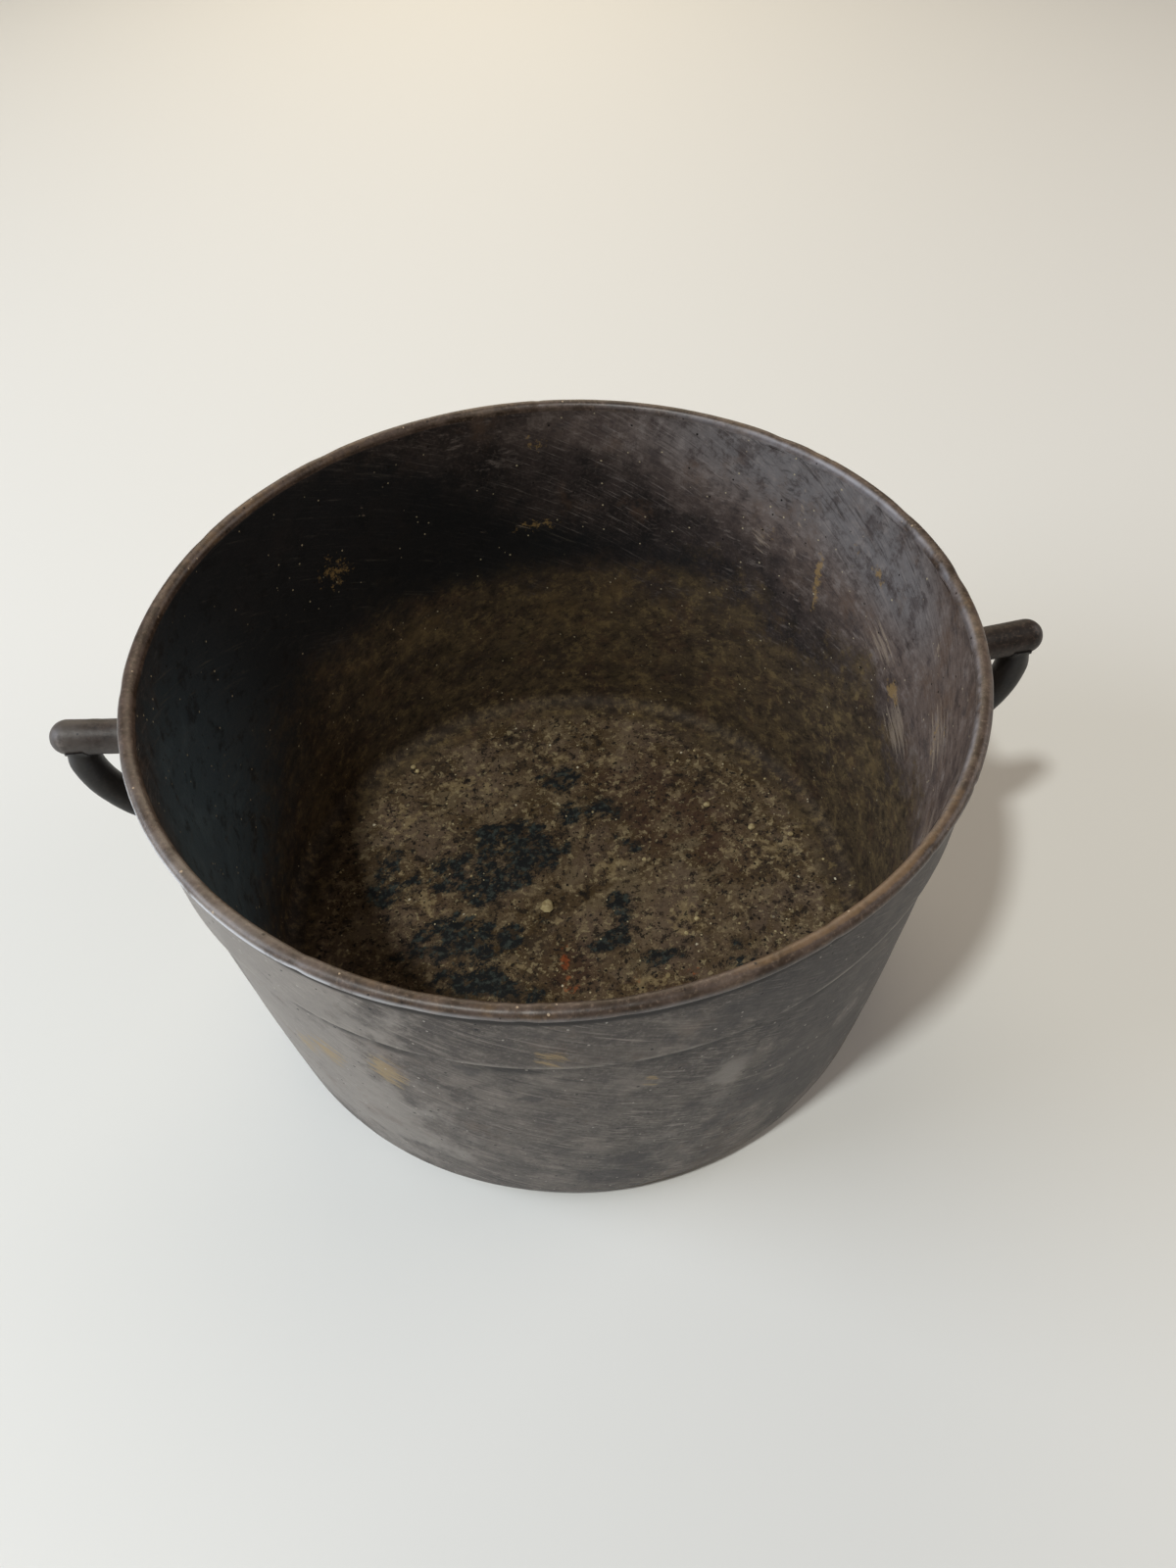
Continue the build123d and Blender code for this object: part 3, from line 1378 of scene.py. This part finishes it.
def strokes(pattern: Pattern, pale: str, dark: str, amount: float, where: Reach) -> tuple[Layer, Layer]:
    """Scouring strokes: a drawn-out pattern's high places pale and its low places dark.

    Args:
        pattern: The drawn-out pattern.
        pale: The colour of the strokes that bared the iron.
        dark: The colour of those that filled with oil.
        amount: How strongly they show.
        where: Which patches were scoured.

    Returns:
        The two layers.
    """
    return (
        Layer(pale, (Reach(pattern, 0.53, 0.72), where), amount),
        Layer(dark, (Reach(pattern, 0.47, 0.3), where), amount),
    )


def film(reach: Reach) -> tuple[Layer, ...]:
    """The film of old cooking over the lower wall and the floor's edge: olive brown, streaked and patchy.

    Args:
        reach: Where it lies.

    Returns:
        Its layers.
    """
    drawn = Pattern(12, 8, 0.72, twist=6.0, squeeze=(0.6, 0.6, 1.0))
    fine = Pattern(2.6, 5, 0.66, twist=6.0, squeeze=(0.7, 0.7, 0.8))
    blotch = Pattern(6, 8, 0.74)
    return (
        Layer("#3c3026", (reach,), 0.94, "#5c4d36", Reach(drawn, 0.34, 0.66)),
        Layer("#4c382a", (reach, Reach(Pattern(19, 7, 0.7), 0.52, 0.64)), 0.6),
        Layer("#7b6947", (reach, Reach(blotch, 0.535, 0.61)), 0.62),
        Layer("#221b14", (reach, Reach(blotch, 0.47, 0.38)), 0.65),
        Layer("#8a7650", (reach, Reach(fine, 0.55, 0.67)), 0.3),
        Layer("#1f1912", (reach, Reach(fine, 0.46, 0.35)), 0.6),
        Layer("#7a6440", (reach, Reach(Pattern(30, 7, 0.7), 0.53, 0.7)), 0.35),
        Layer("#2c2419", (reach, Reach(Pattern(22, 7, 0.7), 0.47, 0.34)), 0.5),
    )


# A scourer's scratches are a few tenths of a millimetre wide. They are drawn at 1.7 and 3.4 mm, coarser
# than real, so that they show as strokes.
SCOURED = Pattern(1.7, 5, twist=12.0, squeeze=(1, 1, 0.36))
SCOURED_WIDER = Pattern(3.4, 5, twist=14.0, squeeze=(1, 1, 0.3))
STAIN = Pattern(6, 7, 0.72, twist=12.0, squeeze=(1, 1, 0.5))

# Sand-cast iron, scoured outside: a dull mid grey, clouded and stroked slantwise, with ochre and dark
# stains; it reads as old worn iron rather than as paint. Painted shade darkens the front right and the
# wall under the band and under the lip, a painted sheen lightens the left, and a painted highlight runs
# along the band's lower edge.
OUTSIDE = IronFinish(
    name="cast_iron_scoured_outside",
    deep="#4a4440",
    middle="#665f59",
    light="#857d77",
    mottle=Pattern(17, 8, 0.66),
    grain=SAND,
    layers=(
        Layer("#857d75", (Reach(Pattern(34, 7, 0.68), 0.5, 0.64),), 0.38),
        Layer("#302c2c", (Reach(Pattern(29, 7, 0.68), 0.48, 0.36),), 0.36),
        Layer("#958d85", (Reach(Pattern(6.5, 7, 0.72), 0.52, 0.66),), 0.35),
        Layer("#2f2b2a", (Reach(Pattern(7.5, 7, 0.72), 0.47, 0.34),), 0.3),
        *strokes(SCOURED, "#a69e96", "#2a2625", 0.85, Reach(WIDE, 0.36, 0.6)),
        *strokes(SCOURED_WIDER, "#938a83", "#2c2827", 0.8, ELSEWHERE),
        # Dark stains, with painted shade over the front right.
        Layer("#2b292d", (Reach(Ragged("dark", CLOUD, 3.0), 0.3, 0.8),), 0.6),
        # Rubbed iron, with a painted sheen over the left.
        Layer("#a09a93", (Reach(Ragged("pale", CLOUD, 2.4), 0.2, 0.9),), 0.62),
        Layer("#a08a62", (Reach(Ragged("ochre", STAIN, 4.0), 0.38, 0.72),), 0.78),
        Layer("#5d4838", (Reach(Pattern(24, 6, 0.66), 0.56, 0.7),), 0.3),
        # Painted shade under the band's lower step, on the wall just below it.
        Layer(
            "#1b1817",
            (
                Reach(Height(CLOUD, 4.0), POT.band_bottom - 7.5 * MM, POT.band_bottom - 2.8 * MM),
                Reach(Height(CLOUD), POT.band_bottom + 0.9 * MM, POT.band_bottom + 0.2 * MM),
                Reach(Pattern(14, 4, 0.6), 0.35, 0.6),
            ),
            0.85,
        ),
        # Painted shade in the crease under the lip, over the top of the band.
        Layer("#1f1713", (Reach(Height(CLOUD, 1.6), POT.lip_bottom - 4.4 * MM, POT.lip_bottom - 2.4 * MM),)),
        # The band's rubbed lower edge, with a painted highlight along it.
        Layer("#9c968e", (Reach("wear"), Reach(CLOUD, 0.38, 0.62)), 0.7),
        Layer("#a8a29a", (Reach(Specks(0.9, 0.1, 3.0)),)),
        Layer("#1d1b1b", (Reach(Specks(1.1, 0.14, 5.0)),)),
    ),
    roughness=0.5,
    dulled_by=CLOUD,
    dulling=0.14,
    bump_mm=0.09,
)

SPOT = Pattern(9, 8, 0.74)
LEFTOVER = Pattern(16, 9, 0.76)

# The brush marks inside are as fine as the scratches outside, and are drawn coarser in the same way.
SCRUBBED_UP = Pattern(1.9, 6, 0.7, twist=-14.0, squeeze=(1, 1, 0.25))
SCRUBBED_ROUND = Pattern(2.2, 6, 0.7, squeeze=(0.25, 0.25, 1))
SHEEN_FLECK = Pattern(4.5, 8, 0.76, twist=-14.0, squeeze=(1, 1, 0.5))
SOOT_FLECK = Pattern(5, 8, 0.76, twist=-14.0, squeeze=(1, 1, 0.4))
SCRATCH = Pattern(6, 9, 0.76, twist=-14.0, squeeze=(1, 1, 0.5))
PAINTED_SHEEN = Reach("pale", 0.1, 0.8)
SOOT = Reach("dark", 0.3, 0.8)
PAINTED_BLUE_SHEEN = Reach("steel", 0.3, 0.9)

# Seasoned iron inside: brown-black oil with a painted grey-violet sheen over the upper right, sooty black on
# the shaded left and back with a painted blue-grey reflection over the left wall, painted shade at the wall's
# foot, and olive-brown with old food lower down.
INSIDE = IronFinish(
    name="cast_iron_seasoned_inside",
    deep="#221e1d",
    middle="#3b3330",
    light="#564c48",
    mottle=CLOUD,
    grain=SAND,
    layers=(
        # A painted sheen over the upper right, mottled by the next four layers and bluer near the lip.
        Layer("#6a5c54", (Reach(Ragged("pale", SPOT, 1.4), 0.0, 0.9),), 0.92, "#777372", Reach("steel")),
        Layer("#48403e", (PAINTED_SHEEN, Reach(SPOT, 0.49, 0.36)), 0.75),
        Layer("#8f8782", (PAINTED_SHEEN, Reach(SPOT, 0.52, 0.64)), 0.45),
        Layer("#3d3331", (PAINTED_SHEEN, Reach(Pattern(26, 9, 0.76), 0.485, 0.4)), 0.6),
        Layer("#2b2423", (PAINTED_SHEEN, Reach(SHEEN_FLECK, 0.45, 0.36)), 0.6),
        *strokes(SCRUBBED_UP, "#968c86", "#2f2826", 0.62, PATCHY),
        *strokes(SCRUBBED_ROUND, "#8a7f78", "#2a2423", 0.6, ELSEWHERE),
        Layer("#5d4838", (Reach(Pattern(27, 7, 0.68), 0.52, 0.68),), 0.45),
        *film(Reach(Ragged("film", LEFTOVER, 2.6), 0.15, 0.95)),
        # Painted shade at the foot of the inner wall, where it meets the floor.
        Layer(
            "#2a1f12",
            (
                Reach(Height(CLOUD, 8.0), POT.heel_top + 8 * MM, POT.floor_top + 5 * MM),
                Reach(Pattern(6, 8, 0.76), 0.54, 0.42),
            ),
            0.7,
        ),
        # Soot on the left and back, with a painted blue-grey reflection over the left wall.
        Layer("#14171a", (Reach(Ragged("dark", SPOT, 1.2), 0.1, 0.9),), 0.9, "#3b4b53", Reach("steel")),
        Layer("#0f1214", (SOOT, Reach(SPOT, 0.48, 0.38)), 0.6),
        # A painted blue-grey reflection, mottled over the soot on the left wall.
        Layer("#4b5a60", (PAINTED_BLUE_SHEEN, SOOT, Reach(Pattern(21, 9, 0.76), 0.5, 0.62)), 0.5),
        Layer("#57534a", (SOOT, Reach(SOOT_FLECK, 0.58, 0.68)), 0.5),
        Layer("#9c8d7c", (Reach(Ragged("scratch", SCRATCH, 4.0), 0.4, 0.8),), 0.62),
        Layer("#9c8050", (Reach(Ragged("ochre", Pattern(3.4, 7, 0.76), 4.4), 0.5, 0.85),), 0.6),
        Layer("#b5a98c", (Reach(Specks(0.8, 0.07, 7.0)),)),
        Layer("#14110f", (Reach(Specks(1.0, 0.1, 9.0)),)),
    ),
    roughness=0.52,
    dulled_by="film",
    dulling=0.23,
    gloss=0.35,
    bump_mm=0.11,
)

# Char tears along the way the spoon went, 28 degrees off the ears, into flakes a finger wide.
TORN = Pattern(13, 8, 0.72, turn_deg=-28, squeeze=(1, 1.5, 1))
HOLES = Pattern(5.0, 6, 0.68, turn_deg=-28, squeeze=(1, 1.3, 1))
ISLAND = Pattern(20, 8, 0.72, turn_deg=-28, squeeze=(1, 1.5, 1))
FLECK = Pattern(5.5, 7, 0.7)
PIT = Pattern(3.0, 4, 0.62)

# The cooking floor: brown residue, busy with tan scale and dark pits, under torn flakes of blue-black
# char, with rust let through in two places; it looks dry and crusted.
FLOOR = IronFinish(
    name="cast_iron_crusted_floor",
    deep="#46361f",
    middle="#645340",
    light="#7d6b50",
    mottle=Pattern(26, 10, 0.76),
    grain=SAND,
    layers=(
        Layer("#7b6c54", (Reach(ISLAND, 0.52, 0.59),), 0.55),
        Layer("#33291f", (Reach(ISLAND, 0.475, 0.39),), 0.72),
        Layer("#6b5a4c", (Reach(Pattern(33, 8, 0.72), 0.5, 0.6),), 0.5),
        Layer("#4a3226", (Reach("rust", 0.1, 0.8), Reach(ISLAND, 0.58, 0.44)), 0.6),
        Layer("#8f7d5a", (Reach(Ragged("tan", FLECK, 4.0), 0.45, 0.8),), 0.7),
        Layer("#938263", (Reach(FLECK, 0.555, 0.6),), 0.55),
        Layer("#1f1812", (Reach(FLECK, 0.445, 0.4),), 0.8),
        Layer("#a79874", (Reach(PIT, 0.6, 0.64),), 0.6),
        Layer("#16120e", (Reach(PIT, 0.4, 0.36),), 0.9),
        Layer("#9a4c22", (Reach(Ragged("orange", FLECK, 5.0), 0.5, 0.85),), 0.7),
        *film(Reach(Ragged("film", LEFTOVER, 2.2), 0.2, 0.9)),
        Layer("#2e271e", (Reach(Ragged("char", TORN, 5.0), 0.05, 0.4),), 0.65),
        Layer(
            "#12171a",
            (Reach(Ragged("char", TORN, 5.6), 0.38, 0.44), Reach(HOLES, 0.43, 0.46)),
            0.96,
            "#3a423f",
            Reach(PIT, 0.48, 0.64),
        ),
        Layer("#191a19", (Reach(HOLES, 0.6, 0.625), Reach(WIDE, 0.44, 0.54)), 0.85),
        Layer("#241c15", (Reach(Height(CLOUD, 2.0), POT.floor_top + 0.9 * MM, POT.floor_top + 3 * MM),), 0.5),
        Layer("#c9bc98", (Reach(Specks(0.9, 0.05, 11.0)),)),
        Layer("#d8cfb4", (Reach(Specks(1.4, 0.025, 13.0)),)),
        Layer("#15110d", (Reach(Specks(1.3, 0.3, 15.0)),)),
    ),
    roughness=0.76,
    gloss=0.28,
    bump_mm=0.35,
)

# Wear runs round the lip, so its patterns are drawn out that way.
AROUND = (0.3, 0.3, 1.0)

# The handled lip: brown-grey iron, oil-dark in its dips and polished by lids and hands along two edges,
# which carry a painted highlight; painted shade lies under its bead and a painted sheen over its left.
LIP = IronFinish(
    name="cast_iron_handled_lip",
    deep="#35291f",
    middle="#564840",
    light="#776658",
    mottle=Pattern(10, 8, 0.7),
    grain=SAND,
    layers=(
        Layer("#7d6c5c", (Reach(Pattern(6, 6, 0.7, squeeze=AROUND), 0.5, 0.68),), 0.45),
        Layer("#2b231e", (Reach(Pattern(5, 6, 0.7, squeeze=AROUND), 0.48, 0.34),), 0.6),
        # Rubbed iron with a painted sheen over the lip's left.
        Layer("#968c82", (Reach("pale"), Reach(CLOUD, 0.3, 0.6)), 0.55),
        Layer("#84694a", (Reach(Ragged("ochre", Pattern(9, 8, 0.72), 2.4), 0.3, 1.1),), 0.5),
        # Painted shade on the underside of the lip's bead.
        Layer("#2a211d", (Reach(Height(CLOUD, 0.8), POT.lip_bottom + 1.9 * MM, POT.lip_bottom + 0.6 * MM),)),
        # Painted highlights on the rubbed inner bevel at the back right and the rubbed outer edge at the left
        # front.
        Layer("#9a979a", (Reach("bevel"), Reach(CLOUD, 0.3, 0.6)), 0.7),
        Layer("#c6c8cd", (Reach("wear"), Reach(CLOUD, 0.3, 0.5)), 0.97),
        Layer("#2a211c", (Reach(Specks(1.0, 0.2, 17.0)),)),
        Layer("#b09c84", (Reach(Specks(0.9, 0.08, 19.0)),)),
    ),
    roughness=0.42,
    dulled_by="wear",
    dulling=-0.2,
    gloss=0.5,
    bump_mm=0.07,
)

# The ears: nearly black iron with the casting sand's own grain, rubbed to a dull grey at the tips, with a
# painted highlight there; the left bar is painted paler as the lit one, and the struts black as painted
# shade.
EAR = IronFinish(
    name="cast_iron_black_ears",
    deep="#1d1613",
    middle="#342a25",
    light="#58493f",
    mottle=Pattern(7, 8, 0.66),
    grain=SAND,
    layers=(
        # The left bar painted paler, as the lit one.
        Layer("#5a5450", (Reach("pale"), Reach(CLOUD, 0.3, 0.6)), 0.8),
        # Rubbed tips, with a painted highlight.
        Layer("#958d87", (Reach("wear"), Reach(Pattern(5, 7, 0.7), 0.4, 0.6)), 0.8),
        # Painted shade: the struts black all over.
        Layer("#15130f", (Reach("dark"),), 0.75, "#151618", Reach(CLOUD, 0.4, 0.6)),
        Layer("#171312", (Reach(Specks(1.0, 0.2, 21.0)),)),
    ),
    roughness=0.48,
    bump_mm=0.1,
)

# Baked starch: pale dry crumbs, toasted here and there.
CRUMB = IronFinish(
    name="baked_starch",
    deep="#8d7a55",
    middle="#c2b184",
    light="#d9cca5",
    mottle=Pattern(3, 8, 0.66),
    grain=SAND,
    roughness=0.75,
    bump_mm=0.1,
)


FINISHES = {"outside": OUTSIDE, "inside": INSIDE, "floor": FLOOR, "lip": LIP, "ear": EAR, "crumb": CRUMB}


class IronSkin:
    """The node tree of one iron finish: the bare skin first, then each layer over it, then the shader."""

    def __init__(self, finish: IronFinish) -> None:
        """Starts the material with the bare casting's two tones and its sand grain.

        Args:
            finish: What the iron looks like.
        """
        self.finish = finish
        self.material = bpy.data.materials.new(finish.name)
        self.material.use_nodes = True
        tree = self.material.node_tree
        tree.nodes.clear()
        self.add = partial(add_node, tree)
        self.made: dict[Source | Reach, Socket] = {}
        self.place = self.add("TexCoord", {}, {}).outputs["Object"]
        self.height = self.add("SeparateXYZ", {}, {"Vector": self.place}).outputs["Z"]
        tone = self.share(Reach(finish.mottle, 0.36, 0.64))
        self.colour = self.mixed(tone, linear(finish.deep), linear(finish.middle))
        self.lay(Layer(finish.light, (Reach(finish.grain, 0.5, 0.74),), 0.6))
        self.lay(Layer(finish.deep, (Reach(finish.grain, 0.46, 0.26),), 0.5))

    def mixed(self, share: Socket, first: Socket | Colour, second: Socket | Colour) -> Socket:
        """The colour between two that a share of the second gives."""
        links = {"Fac": share, "Color1": first, "Color2": second}
        return self.add("MixRGB", {}, links).outputs["Color"]

    def value(self, source: Source) -> Socket:
        """The number that a source gives at each point, made once and used again.

        Args:
            source: A pattern, a ragged mark, a height, specks, or a painted mark's name.

        Returns:
            The output that carries it.
        """
        if source not in self.made:
            if isinstance(source, Pattern):
                self.made[source] = self.pattern_value(source)
            elif isinstance(source, Ragged):
                self.made[source] = self.ragged_value(source)
            elif isinstance(source, Height):
                links = {0: self.value(source.pattern), 1: source.ragged_mm * MM, 2: self.height}
                self.made[source] = self.add("Math", {"operation": "MULTIPLY_ADD"}, links).outputs[0]
            elif isinstance(source, Specks):
                self.made[source] = self.speck_value(source)
            else:
                self.made[source] = self.add("Attribute", {"attribute_name": source}, {}).outputs["Fac"]
        return self.made[source]

    def pattern_value(self, pattern: Pattern) -> Socket:
        """Noise on Object coordinates that are twisted by height, turned about Z and squeezed.

        Args:
            pattern: The pattern.

        Returns:
            The output that carries it, from 0 to 1.
        """
        links = {0: self.height, 1: pattern.twist, 2: math.radians(pattern.turn_deg)}
        angle = self.add("Math", {"operation": "MULTIPLY_ADD"}, links).outputs[0]
        links = {"Vector": self.place, "Angle": angle}
        turned = self.add("VectorRotate", {"rotation_type": "Z_AXIS"}, links).outputs["Vector"]
        squeezed = self.add("Mapping", {}, {"Vector": turned, "Scale": pattern.squeeze}).outputs["Vector"]
        links = {"Vector": squeezed, "Scale": per_metre(pattern.size_mm), "Detail": pattern.detail}
        return self.add("TexNoise", {}, links | {"Roughness": pattern.rough}).outputs["Fac"]

    def ragged_value(self, ragged: Ragged) -> Socket:
        """mark + depth * (pattern - 0.5), times the mark eased from 0.03 to 0.25.

        Args:
            ragged: The mark and what makes it ragged.

        Returns:
            The output that carries it.
        """
        mark = self.value(ragged.mark)
        links = {0: self.value(ragged.pattern), 1: -0.5}
        swing = self.add("Math", {"operation": "ADD"}, links).outputs[0]
        links = {0: swing, 1: ragged.depth, 2: mark}
        total = self.add("Math", {"operation": "MULTIPLY_ADD"}, links).outputs[0]
        present = self.share(Reach(ragged.mark, 0.03, 0.25))
        return self.add("Math", {"operation": "MULTIPLY"}, {0: total, 1: present}).outputs[0]

    def speck_value(self, specks: Specks) -> Socket:
        """1 at the middles of the chosen cells, 0 elsewhere, with the grain roughening each speck's edge.

        Args:
            specks: The specks.

        Returns:
            The output that carries it.
        """
        links = {0: self.place, 1: (specks.seed,) * 3}
        moved = self.add("VectorMath", {"operation": "ADD"}, links).outputs[0]
        cells = self.add("TexVoronoi", {}, {"Vector": moved, "Scale": per_metre(specks.size_mm * 3)})
        chance = self.add("SeparateColor", {}, {"Color": cells.outputs["Color"]}).outputs[0]
        ease = {"interpolation_type": "SMOOTHSTEP"}
        links = {"Value": chance, "From Min": 1 - specks.share, "From Max": 1.02 - specks.share}
        chosen = self.add("MapRange", ease, links).outputs["Result"]
        links = {0: self.value(self.finish.grain), 1: 0.3, 2: cells.outputs["Distance"]}
        reach = self.add("Math", {"operation": "MULTIPLY_ADD"}, links).outputs[0]
        links = {"Value": reach, "From Min": 0.36, "From Max": 0.26}
        spot = self.add("MapRange", ease, links).outputs["Result"]
        return self.add("Math", {"operation": "MULTIPLY"}, {0: chosen, 1: spot}).outputs[0]

    def share(self, reach: Reach) -> Socket:
        """A reach as an output from 0 to 1, made once and used again.

        Args:
            reach: The reach.

        Returns:
            The output that carries it.
        """
        if reach not in self.made:
            links = {"Value": self.value(reach.source), "From Min": reach.low, "From Max": reach.high}
            ease = {"interpolation_type": "SMOOTHSTEP"}
            self.made[reach] = self.add("MapRange", ease, links).outputs["Result"]
        return self.made[reach]

    def lay(self, layer: Layer) -> None:
        """Lays one layer over what is there.

        Args:
            layer: The layer.
        """
        cover = layer.amount
        for reach in layer.reaches:
            cover = self.add("Math", {"operation": "MULTIPLY"}, {0: self.share(reach), 1: cover}).outputs[0]
        over = linear(layer.colour)
        if layer.tone:
            over = self.mixed(self.share(layer.tone), over, linear(layer.second))
        self.colour = self.mixed(cover, self.colour, over)

    def build(self) -> Material:
        """Lays every layer and joins the colour, the roughness and the grain's bump to the shader.

        Returns:
            The material.
        """
        finish = self.finish
        for layer in finish.layers:
            self.lay(layer)
        links = {"Height": self.value(finish.grain), "Distance": finish.bump_mm * MM}
        bump = self.add("Bump", {}, links).outputs["Normal"]
        roughness: float | Socket = finish.roughness
        if finish.dulled_by:
            links = {0: self.value(finish.dulled_by), 1: finish.dulling, 2: finish.roughness}
            roughness = self.add("Math", {"operation": "MULTIPLY_ADD"}, links).outputs[0]
        links = {"Base Color": self.colour, "Roughness": roughness, "Specular IOR Level": finish.gloss}
        shader = self.add("BsdfPrincipled", {}, links | {"Normal": bump})
        self.add("OutputMaterial", {}, {"Surface": shader.outputs["BSDF"]})
        return self.material


# --- stage, light and camera ---------------------------------------------------------------------


@dataclass(frozen=True)
class Lamp:
    """A round area light: its name, where it hangs, its diameter, its power and its colour."""

    name: str
    place: tuple[float, float, float]
    size: float
    watts: float
    colour: str


@dataclass
class Studio:
    """A pale floor, a neutral lamp high at the front left, a cool window, warm bounces, and the camera."""

    floor_reach: float = 5.0
    floor_gap: float = 0.05 * MM
    floor_colour: str = "#e4e5e2"
    lamps: tuple[Lamp, ...] = (
        Lamp("lamp", (-0.78, -0.79, 2.33), 0.2, 29.5, "#fefffa"),
        Lamp("window", (-1.7, 0.0, 1.0), 1.3, 25.0, "#e7f0ff"),
        Lamp("wall_bounce", (0.0, 1.5, 0.9), 1.5, 9.2, "#ffeed2"),
        Lamp("doorway", (1.7, 0.2, 1.0), 1.3, 9.5, "#fff4ee"),
    )
    sky_colour: str = "#ffedda"
    sky_strength: float = 0.125
    camera_place: tuple[float, float, float] = (-0.0150, -0.3029, 0.4537)
    camera_heading_deg: float = -4.68
    camera_dip_deg: float = 50.09
    camera_roll_deg: float = -2.71
    camera_lens_mm: float = 26.27
    camera_film_mm: float = 36.0
    camera_nearest: float = 10 * MM

    def build(self) -> None:
        """Sets up everything round the pot."""
        self.lay_floor()
        for lamp in self.lamps:
            self.hang(lamp)
        self.light_sky()
        self.set_camera()

    def lay_floor(self) -> None:
        """A plain pale floor under the pot, a hair below it."""
        mesh = bpy.data.meshes.new("floor")
        signs = [(-1, -1), (1, -1), (1, 1), (-1, 1)]
        corners = [(x * self.floor_reach, y * self.floor_reach, -self.floor_gap) for x, y in signs]
        mesh.from_pydata(corners, [], [(0, 1, 2, 3)])
        floor = bpy.data.objects.new("floor", mesh)
        bpy.context.scene.collection.objects.link(floor)
        material = bpy.data.materials.new("painted_board")
        material.use_nodes = True
        tree = material.node_tree
        tree.nodes.clear()
        links = {"Base Color": linear(self.floor_colour), "Roughness": 0.6}
        shader = add_node(tree, "BsdfPrincipled", {}, links)
        add_node(tree, "OutputMaterial", {}, {"Surface": shader.outputs["BSDF"]})
        mesh.materials.append(material)

    def hang(self, lamp: Lamp) -> None:
        """Hangs a lamp and turns it towards the middle of the pot.

        Args:
            lamp: The lamp.
        """
        light = bpy.data.lights.new(lamp.name, "AREA")
        light.shape = "DISK"
        light.size = lamp.size
        light.energy = lamp.watts
        light.color = linear(lamp.colour)[:3]
        hung = bpy.data.objects.new(lamp.name, light)
        hung.location = lamp.place
        towards = np.array([0, 0, POT.height / 2]) - np.array(lamp.place)
        towards /= np.linalg.norm(towards)
        side = np.cross(towards, [0, 0, 1])
        side /= np.linalg.norm(side)
        turn = np.stack([side, np.cross(side, towards), -towards], axis=1)
        hung.rotation_euler = Matrix(turn.tolist()).to_euler()
        bpy.context.scene.collection.objects.link(hung)

    def light_sky(self) -> None:
        """An even pale sky for the room's own light."""
        world = bpy.data.worlds.new("room_light")
        world.use_nodes = True
        background = world.node_tree.nodes["Background"]
        background.inputs["Color"].default_value = linear(self.sky_colour)
        background.inputs["Strength"].default_value = self.sky_strength
        bpy.context.scene.world = world
        bpy.context.scene.view_settings.view_transform = "Standard"

    def set_camera(self) -> None:
        """The camera: in front, a little to the left, looking steeply down into the pot."""
        data = bpy.data.cameras.new("camera")
        data.lens = self.camera_lens_mm
        data.sensor_width = self.camera_film_mm
        data.clip_start = self.camera_nearest
        camera = bpy.data.objects.new("camera", data)
        heading = Matrix.Rotation(math.radians(self.camera_heading_deg), 4, "Z")
        dip = Matrix.Rotation(math.radians(90 - self.camera_dip_deg), 4, "X")
        turn = heading @ dip @ Matrix.Rotation(math.radians(self.camera_roll_deg), 4, "Z")
        camera.matrix_world = Matrix.Translation(self.camera_place) @ turn
        bpy.context.scene.collection.objects.link(camera)
        bpy.context.scene.camera = camera


def main() -> None:
    """Builds the finishes, the pot, its ears and crumbs, and the studio, and reports each piece."""
    logging.basicConfig(level=logging.INFO, format="%(name)s: %(message)s")
    Studio().build()
    finishes = {kind: IronSkin(finish).build() for kind, finish in FINISHES.items()}
    pieces = Pot().build(finishes)
    for side in Side:
        pieces += BailEar(side).build(finishes)
    pieces.append(BakedCrumbs().build(finishes))
    for piece in pieces:
        LOG.info("%s: %d faces", piece.name, len(piece.data.polygons))


if __name__ == "__main__":
    main()
